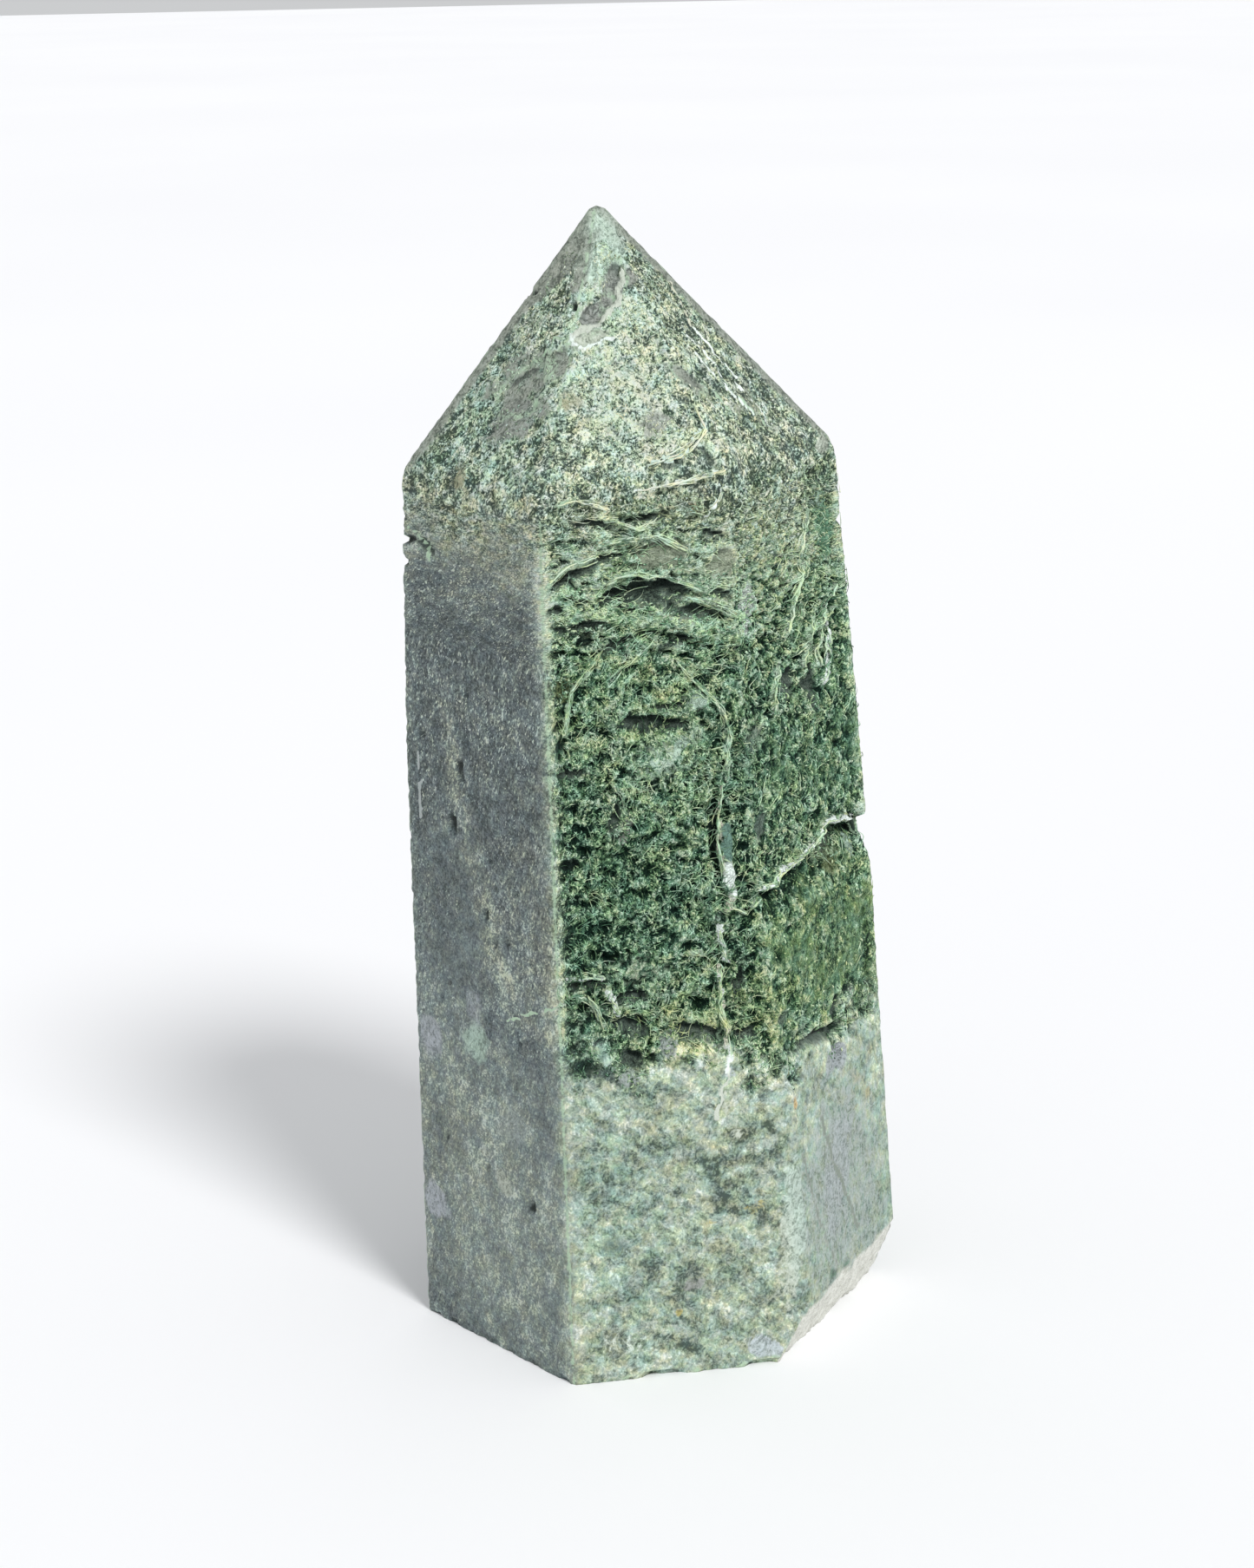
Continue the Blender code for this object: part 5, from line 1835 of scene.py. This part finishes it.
class StoneRecipe(Recipe):
    """Moss, slate and pale chalcedony, each with its own grain, mixed by zone."""

    LAYERS = (
        "moss", "slate", "granular", "relief_shade", "bare", "rim", "worn", "broken", "tone", "pit",
        "dark", "pocket", "calm",
    )

    def __init__(self):
        super().__init__("moss_agate")
        self.place = self.squeezed(self.places())
        curly = self.curled(self.place)
        slanted = self.stretch(self.place, *SLANT)
        places = {
            "place": self.place,
            "curly": curly,
            "flow": self.stretch(curly, *FLOW),
            "brushed": self.stretch(curly, *BRUSH),
            "slanted": slanted,
        }
        self.raw, self.grains = {}, {}
        for name, row in STONE_GRAINS.items():
            self.raw[name], self.grains[name] = self.grown(places, *row)
        fibre = 0.0
        for web in WEBS:
            fibre = self.maths("MAXIMUM", self.web(curly, *web), fibre)
        self.grains["fibre"] = fibre
        height = self.level(self.place)
        flake = self.noise(slanted, *FLAKE_NOISE).outputs[0]
        self.grains["flakes"] = self.remap(flake, *FLAKE_FADE)
        self.grains["slate_flakes"] = self.times(
            self.remap(flake, *SLATE_FLAKE_FADE),
            self.grains["sparse"],
            self.remap(height, *SLATE_FLAKE_HEIGHTS),
        )
        glint = self.noise(slanted, *GLINT_NOISE).outputs[0]
        self.glints = self.times(
            self.remap(glint, *GLINT_FADE), self.remap(height, *GLINT_HEIGHTS)
        )
        self.layers = {name: self.value(name) for name in self.LAYERS}
        self.torn = self.weigh(TORN, self.raw)

    def weigh(self, weights, values, level=0.0):
        """Sum of some values, each with its weight, and a level."""
        return self.add(*[(values[name], weight) for name, weight in weights.items()], level)

    def pattern(self, kind):
        """The small pattern of one kind of stone, up and down from 0."""
        weights = PATTERNS[kind]
        return self.weigh(weights, self.grains, -sum(weights.values()) / 2)

    def toned(self, kind, pattern, strength):
        """Tone of one kind of stone, from its pattern, the clouds, and painted shade of the
        relief: darker where sunk and in deep pits, lighter where raised.
        """
        middle, clouds, darker = LEVELS[kind]
        base = self.sway(middle, (self.grains["clouds"], clouds))
        tone = self.maths("MULTIPLY_ADD", pattern, strength, base)
        tone = self.add(tone, (self.layers["relief_shade"], -darker))
        return self.add(tone, self.layers["tone"], (self.layers["pit"], -PIT_PAINTED_SHADE))

    def stone(self):
        """Colour of the stone itself."""
        layers = self.layers
        moss, slate, granular = layers["moss"], layers["slate"], layers["granular"]
        quiet = self.less(layers["calm"], CALM_QUIET)
        lively = self.add((self.grains["uneven"], LIVELY_MORE), LIVELY_LEAST)
        pale = self.add(
            self.times(self.pattern("point"), granular),
            self.times(self.pattern("plain"), self.less(granular)),
        )
        pale = self.toned("pale", pale, quiet)
        slaty = self.toned("slate", self.pattern("slate"), quiet)
        slaty = self.add(slaty, (self.glints, GLINT_TONE))
        mossy = self.toned("moss", self.pattern("moss"), self.times(quiet, lively))
        colour = self.mix(granular, self.ramp(pale, LOW_RAMP), self.ramp(pale, PALE_RAMP))
        colour = self.mix(slate, colour, self.ramp(slaty, SLATE_RAMP))
        colour = self.mix(moss, colour, self.ramp(mossy, MOSS_RAMP))
        return self.stained(colour, self.place, self.less(slate, SLATE_STAIN_LOSS))

    def patched(self, colour):
        """Patches of other colours, their edges torn least on the slate."""
        patch = self.layer("patch")
        strength = patch.outputs["Alpha"]
        ragged = self.weigh(PATCH_TORN, self.layers, PATCH_TORN_LEVEL)
        ragged = self.times(self.add(self.torn, -0.5), ragged)
        cover = self.remap(self.add(strength, ragged), *PATCH_EDGE)
        cover = self.times(cover, self.remap(strength, *PATCH_FULL))
        grain = self.ramp(self.weigh(PATCH_GRAIN, self.grains), PATCH_RAMP)
        shaded = self.mix(1.0, patch.outputs["Color"], grain, "MULTIPLY")
        return self.mix(cover, colour, shaded)

    def crumbled(self, kind, value):
        """A value from 0 to 1 with its border torn into crumbs."""
        share, torn, level, fade, start = CRUMBLED[kind]
        edge = self.add((value, share), (self.torn, torn), level)
        return self.times(self.remap(edge, *fade), self.remap(value, *start))

    def hollowed(self, colour):
        """Pale rims, grey floors of the gaps, and the painted shade in the hollows and the crack's
        slit.
        """
        layers = self.layers
        rim = self.times(layers["rim"], self.remap(self.torn, *RIM_EDGE))
        colour = self.mix(rim, colour, self.plain("pale_moss"))
        floor = self.times(layers["pocket"], POCKET_STRENGTH)
        colour = self.mix(floor, colour, self.ramp(self.torn, POCKET_RAMP))
        # Painted shade, near black, in the hollows and the crack's slit
        shadow = self.crumbled("dark", layers["dark"])
        return self.mix(shadow, colour, self.plain("shade"))

    def worn(self, colour):
        """Pale edges, worn and partly a painted highlight, and the fresh stone of the broken
        corner.
        """
        edge = self.crumbled("worn", self.layers["worn"])
        colour = self.mix(edge, colour, self.plain("pale_moss"))
        chip = self.weigh(CHIP_PATTERN, self.grains, CHIP_LEVEL)
        chip = self.add(chip, (self.raw["lumps"], CHIP_LUMPS))
        return self.mix(self.layers["broken"], colour, self.ramp(chip, CHIP_RAMP))

    def veined(self, colour):
        """Veins over all the rest."""
        vein = self.layer("vein")
        share = self.crumbled("vein", vein.outputs["Alpha"])
        return self.mix(share, colour, vein.outputs["Color"])

    def relief(self):
        """Threads, grains and lumps that are finer than the mesh."""
        fibre = self.times(
            self.grains["fibre"], self.weigh(FIBRE_RISE, self.layers, FIBRE_LEVEL)
        )
        grain = self.times(
            self.weigh(GRAIN_RISE, self.layers, GRAIN_LEVEL),
            self.weigh(GRAIN_SHARES, self.raw),
        )
        relief = self.add(fibre, grain, (self.raw["lumps"], LUMP_RISE))
        return self.bump(relief, BUMP_DEPTH)


def stone_material():
    make = StoneRecipe()
    colour = make.patched(make.stone())
    colour = make.veined(make.worn(make.hollowed(colour)))
    roughness = make.weigh(ROUGHNESS, make.layers, ROUGHNESS_LEVEL)
    roughness = make.add(roughness, (make.raw["lumps"], ROUGHNESS_LUMPS))
    gloss = make.weigh(GLOSS, make.layers, GLOSS_LEVEL)
    return make.finish(
        Base_Color=colour, Roughness=roughness, Specular_IOR_Level=gloss, Normal=make.relief()
    )


# How the strands lie, in millimetres and radians

STRANDS = {
    "thread": {
        "length": (0.7, 2.3), "radius": (0.028, 0.050), "points": 6, "stray": 0.6,
        "bend": 0.22, "bridge": 1.0, "lift": 2.2, "blunt": 0.35, "lighter": 0.06,
        "patchy": (-0.3, 0.6),
    },
    "crumb": {
        "length": (0.14, 0.42), "radius": (0.042, 0.09), "points": 4, "stray": 1.5,
        "bend": 0.3, "bridge": 0.3, "lift": 0.9, "blunt": 0.55, "lighter": 0.0,
        "patchy": (-0.9, 0.2),
    },
    "branch": {
        "length": (1.2, 3.5), "radius": (0.05, 0.10), "points": 8, "bridge": 0.8,
        "lift": 1.6, "blunt": 0.3, "lighter": 0.34,
    },
    "grit": {
        "length": (0.10, 0.30), "radius": (0.030, 0.065), "points": 4, "stray": 1.5,
        "bend": 0.5, "bridge": 0.1, "lift": 0.5, "blunt": 0.6, "lighter": 0.0,
        "patchy": (-0.9, 0.6),
    },
}
STRAND_TONE = 0.52
STRAND_PATTERN = {"shapes": 0.30, "specks": 0.24}
STRAND_ROUGHNESS = 0.6
STRAND_ROUGHNESS_SPECKS = 0.3
STRAND_GLOSS = 0.2
STRAND_SIDES = 3
STRAND_BLUR = 6
STRAND_HEADING = 0.7
STRAND_LEAN = 1.6
# Strands lie level in the folded layers: where that begins and ends, and how level
FOLDED = (53.0, 58.0)
FOLDED_END = 68.5
FOLDED_LEVEL = 0.7
STRAND_ROOM = 0.05
STRAND_VARIETY = 0.30
STRAND_UNEVEN = (0.7, 1.3)
STRAND_BURIED = 0.4
STRAND_BELOW = 0.01
BRIDGE_RISE = 2.5
# Places tried for each strand, of which the rough ones are kept
STRAND_TRIES = 3
# Where branches start along a vein, and how far they stray from it
BRANCH_STARTS = (-0.05, 0.75)
BRANCH_SPREAD = 0.7
BRANCH_STRAY = 0.05
END_LEVELS = 12
# Pieces of strands: kind, and for each face the count, the lowest and the highest place
TANGLES = {
    "moss_threads_front": ("thread", (("front", 1800, 24.5, 69.0),)),
    "moss_threads_right": ("thread", (("front_right", 1000, 24.5, 69.0),)),
    "moss_threads_back": ("thread", (("back", 900, 24.5, 69.0),)),
    "moss_crumbs_lower": ("crumb", (("front", 8500, 21.5, 48.0),)),
    "moss_crumbs_upper": ("crumb", (("front", 8200, 47.0, 69.5),)),
    "moss_crumbs_right": ("crumb", (("front_right", 7500, 22.0, 69.5),)),
    "moss_crumbs_back": ("crumb", (
        ("back", 2600, 22.0, 69.0),
        ("tip_back", 900, 71.0, 87.0),
        ("back_right_upper", 1200, 38.0, 68.0),
    )),
    "vein_branches": ("branch", (
        ("front", 2.2, 21.0, 69.5),
        ("front_right", 2.2, 22.0, 69.5),
        ("back", 2.2, 22.0, 69.0),
        ("tip_front", 2.2, 69.5, 87.0),
    )),
    "point_grit": ("grit", (
        ("tip_front", 3600, 69.5, 87.0),
        ("tip_front_left", 800, 70.5, 86.5),
        ("tip_front_right", 1500, 70.5, 86.5),
    )),
}


class Tangle:
    """Fine strands lying on one face of the worn stone: threads that cross its pits,
    or crumbs that sit on it."""

    def __init__(self, skin, face, kind, count, heights, chance):
        self.skin = skin
        self.face = face
        self.plane = GROUND[face]
        self.turn = next(turn for turn, faces in enumerate(TURNS) if face in faces)
        self.kind = {"name": kind, **STRANDS[kind]}
        self.heights = heights
        self.chance = chance
        self.levels = np.linspace(*heights, END_LEVELS)
        corners = [ring_corners(level) for level in self.levels]
        self.sides = [
            [self.plane.along(np.array((*corner[turn % len(TURNS)], level)))
             for corner, level in zip(corners, self.levels)]
            for turn in (self.turn, self.turn + 1)
        ]
        if kind == "branch":
            self.branches(count)
        else:
            self.paths(count)

    def ends(self, height):
        """Where the face begins and ends, along it, at each height."""
        return [np.interp(height, self.levels, side) for side in self.sides]

    def sample(self, values, along, height):
        """Values of the skin at places on the face."""
        skin = self.skin
        counts = list(COLUMNS.values())
        first, last = self.ends(height)
        column = (along - first) / (last - first) * counts[self.turn]
        column = np.clip(column, 0, counts[self.turn] - 1e-3) + sum(counts[: self.turn])
        row = np.interp(height, skin.heights, np.arange(skin.rows))
        low, left = np.floor(row).astype(int), np.floor(column).astype(int)
        high, right = np.minimum(low + 1, skin.rows - 1), (left + 1) % skin.columns
        up, side = row - low, column - left
        grid = values.reshape(skin.rows, skin.columns)
        below = grid[low, left] * (1 - side) + grid[low, right] * side
        above = grid[high, left] * (1 - side) + grid[high, right] * side
        return below * (1 - up) + above * up

    def branches(self, each):
        """Strands that follow the veins of this face, some side by side in each."""
        points = self.kind["points"]
        along, height = [], []
        for _, half_width, proud, places in VEINS[self.face]:
            if proud == 0:
                continue
            places = np.array(places)
            run = np.concatenate(([0.0], np.cumsum(np.hypot(*np.diff(places, axis=0).T))))
            count = max(2, round(run[-1] * each))
            start = self.chance.uniform(*BRANCH_STARTS, count) * run[-1]
            reach = self.chance.uniform(*self.kind["length"], count)
            way = start + reach * np.linspace(0, 1, points)[:, None]
            way = np.clip(way, 0, run[-1])
            off = self.chance.normal(0, half_width * BRANCH_SPREAD, (2, count))
            stray = self.chance.normal(0, BRANCH_STRAY, (2, points, count))
            stray = np.cumsum(stray, axis=1)
            along.append(np.interp(way, run, places[:, 0]) + off[0] + stray[0])
            height.append(np.interp(way, run, places[:, 1]) + off[1] + stray[1])
        self.along = np.concatenate(along, axis=1)
        self.height = np.concatenate(height, axis=1)

    def paths(self, count):
        """Places along and up the face for every point of every strand."""
        chance, kind = self.chance, self.kind
        height = chance.uniform(*self.heights, count * STRAND_TRIES)
        first, last = self.ends(height)
        along = first + (last - first) * chance.random(len(height))
        where = np.column_stack((along, np.zeros(len(height)), height))
        noise = self.skin.noise
        patchy = smooth_step(*kind["patchy"], noise.named("clumps", where))
        rough = self.sample(self.skin.rough[kind["name"]], along, height)
        keep = np.flatnonzero(chance.random(len(height)) < rough * patchy)[:count]
        along, height, where = along[keep], height[keep], where[keep]
        length = chance.uniform(*kind["length"], len(keep))
        lean = STRAND_LEAN * noise.named("lean", where)
        level = 1 - FOLDED_LEVEL * smooth_step(*FOLDED, height) * (height < FOLDED_END)
        stray = chance.normal(0, kind["stray"], len(keep))
        heading = (STRAND_HEADING + lean + stray) * level
        bend = chance.normal(0, kind["bend"], len(keep))
        steps = kind["points"] - 1
        self.along, self.height = [along], [height]
        for _ in range(steps):
            along = along + np.cos(heading) * length / steps
            height = height + np.sin(heading) * length / steps
            heading = heading + bend + chance.normal(0, kind["bend"], len(keep))
            self.along.append(along)
            self.height.append(height)

    def build(self):
        """Corners of every ring of every strand, and a number for each strand's tone."""
        kind, plane = self.kind, self.plane
        height = np.clip(self.height, *self.heights)
        first, last = self.ends(height)
        along = np.clip(self.along, first + STRAND_ROOM, last - STRAND_ROOM)
        floor = -self.sample(self.skin.sunk, along, height)
        roof = self.sample(self.skin.roof, along, height)
        share = np.linspace(0, 1, kind["points"])[:, None]
        arch = np.sin(math.pi * share)
        thick = self.chance.uniform(*kind["radius"], along.shape[1])
        bridge = np.minimum(arch * BRIDGE_RISE, 1.0) * kind["bridge"]
        lift = floor + (roof - floor) * bridge
        lift = lift + thick * (kind["lift"] * arch - STRAND_BURIED)
        lift = np.minimum(lift, -STRAND_BELOW - thick)
        up = np.cross(plane.right, plane.normal)
        up = up * np.sign(up[2])
        rise = (height - plane.origin[2]) / up[2]
        spine = (
            plane.origin
            + along[..., None] * plane.right
            + rise[..., None] * up
            + lift[..., None] * plane.normal
        )
        forward = np.gradient(spine, axis=0)
        forward /= np.linalg.norm(forward, axis=2, keepdims=True)
        sideways = np.cross(forward, plane.normal)
        sideways /= np.linalg.norm(sideways, axis=2, keepdims=True)
        outward = np.cross(sideways, forward)
        uneven = self.chance.uniform(*STRAND_UNEVEN, along.shape)
        radius = (thick * at_least(kind["blunt"], arch) * uneven)[..., None]
        rings = []
        for side in range(STRAND_SIDES):
            angle = 2 * math.pi * side / STRAND_SIDES
            rings.append(spine + radius * (math.cos(angle) * outward + math.sin(angle) * sideways))
        points = np.stack(rings, axis=2).transpose(1, 0, 2, 3)
        middle = kind["points"] // 2
        spot = along[middle], height[middle]
        tone = self.chance.normal(0, STRAND_VARIETY, len(points))
        tone = tone + self.sample(self.skin.tone, *spot) + kind["lighter"]
        pale = self.sample(self.skin.tip * (1 - self.skin.moss), *spot)
        return points, tone, self.sample(self.skin.warm, *spot), pale


def strand_mesh(name, points, tone, warm, pale):
    """All strands of one kind as one mesh."""
    count, rings, sides, _ = points.shape
    size = rings * sides
    step = np.arange(sides)
    following = (step + 1) % sides
    one = [
        np.column_stack((low + step, low + following, low + sides + following, low + sides + step))
        for low in range(0, size - sides, sides)
    ]
    starts = (np.arange(count) * size)[:, None, None]
    faces = (np.concatenate(one)[None] + starts).reshape(-1, 4)
    ends = np.array((step[::-1], size - sides + step))
    caps = (ends[None] + starts).reshape(-1, sides)
    layers = {"tone": tone, "warm": warm, "pale": pale}
    layers = {layer: np.repeat(values, size) for layer, values in layers.items()}
    return add_piece(name, points.reshape(-1, 3), faces.tolist() + caps.tolist(), layers)


def strand_material():
    """The strands' own tones, darker on the moss and paler on the point."""
    make = Recipe("moss_strands")
    place = make.places()
    places = {"place": place}
    grains = {name: make.grown(places, *row)[1] for name, row in STRAND_GRAINS.items()}
    weights = [(grains[name], weight) for name, weight in STRAND_PATTERN.items()]
    tone = make.add(make.sway(STRAND_TONE, *weights), make.value("tone"))
    colour = make.mix(
        make.value("pale"), make.ramp(tone, STRAND_RAMP), make.ramp(tone, CRUMB_RAMP)
    )
    roughness = make.sway(STRAND_ROUGHNESS, (grains["specks"], STRAND_ROUGHNESS_SPECKS))
    return make.finish(
        Base_Color=make.stained(colour, place),
        Roughness=roughness,
        Specular_IOR_Level=STRAND_GLOSS,
    )


def build_strands(skin):
    """All pieces of threads, crumbs, branches and grit, each with its own seed."""
    skin.roof = -np.minimum(skin.sunk, skin.blur(skin.sunk, STRAND_BLUR))
    finish = strand_material()
    made = []
    for seed, (name, (kind, faces)) in enumerate(TANGLES.items()):
        chance = np.random.default_rng(seed)
        parts = [
            Tangle(skin, face, kind, count, (low, high), chance).build()
            for face, count, low, high in faces
        ]
        piece = strand_mesh(name, *[np.concatenate(values) for values in zip(*parts)])
        piece.data.materials.append(finish)
        made.append(piece)
    return made


# Floor, camera and light, in metres and degrees

FLOOR_SIZE = 6.0
FLOOR_BACK = 0.3
FLOOR_NOISE = (0.35, 2.0, 0.5)
FLOOR_ROUGHNESS = 0.8
FLOOR_GLOSS = 0.1
PHOTO_WIDTH, PHOTO_HEIGHT = 1445, 1807
FOCAL_PIXELS = 3300
SENSOR = 36.0
CLIP = (0.01, 20.0)
CAMERA_PLACE = Vector((-0.0021, -0.2171, 0.1086))
CAMERA_PITCH = 16.5
CAMERA_ROLL = -1.2
KEY_FACING = 34.0
KEY_LIFT = 46.0
KEY_SPREAD = 16.0
KEY_STRENGTH = 1.9
SKY = (0.97, 0.985, 1.0)
SKY_STRENGTH = 0.62


def floor_material():
    make = Recipe("white_sweep")
    coordinates = make.node("ShaderNodeTexCoord").outputs["Object"]
    cloud = make.noise(coordinates, *FLOOR_NOISE).outputs[0]
    return make.finish(
        Base_Color=make.ramp(cloud, FLOOR_RAMP),
        Roughness=FLOOR_ROUGHNESS,
        Specular_IOR_Level=FLOOR_GLOSS,
    )


def build_floor():
    place = (0.0, FLOOR_SIZE * FLOOR_BACK, 0.0)
    bpy.ops.mesh.primitive_plane_add(size=FLOOR_SIZE, location=place)
    floor = bpy.context.object
    floor.name = "floor"
    floor.data.materials.append(floor_material())


def build_camera():
    """The photograph's camera, found by matching the stone's corners."""
    data = bpy.data.cameras.new("photo_camera")
    data.sensor_width = SENSOR
    data.lens = FOCAL_PIXELS / PHOTO_HEIGHT * SENSOR
    data.clip_start, data.clip_end = CLIP
    camera = bpy.data.objects.new("photo_camera", data)
    bpy.context.scene.collection.objects.link(camera)
    tilt = Matrix.Rotation(math.radians(90 - CAMERA_PITCH), 4, "X")
    roll = Matrix.Rotation(math.radians(CAMERA_ROLL), 4, "Z")
    camera.matrix_world = Matrix.Translation(CAMERA_PLACE) @ tilt @ roll
    bpy.context.scene.camera = camera


def build_light():
    """A soft sun from the front right and above, and a white sky."""
    facing, lift = math.radians(KEY_FACING), math.radians(KEY_LIFT)
    away = Vector((math.sin(facing), -math.cos(facing), 0.0)) * math.cos(lift)
    away.z = math.sin(lift)
    data = bpy.data.lights.new("key", "SUN")
    data.angle = math.radians(KEY_SPREAD)
    data.energy = KEY_STRENGTH
    light = bpy.data.objects.new("key", data)
    light.rotation_mode = "QUATERNION"
    light.rotation_quaternion = away.to_track_quat("Z", "Y")
    bpy.context.scene.collection.objects.link(light)
    world = bpy.data.worlds.new("soft_white")
    world.use_nodes = True
    background = world.node_tree.nodes["Background"]
    background.inputs["Color"].default_value = (*SKY, 1.0)
    background.inputs["Strength"].default_value = SKY_STRENGTH
    bpy.context.scene.world = world
    bpy.context.scene.view_settings.view_transform = "Standard"


def main():
    build_camera()
    build_light()
    build_floor()
    stone, skin = build_stone()
    stone.data.materials.append(stone_material())
    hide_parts("agate_tower")
    for piece in [stone, *build_strands(skin)]:
        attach(piece, "root")


main()
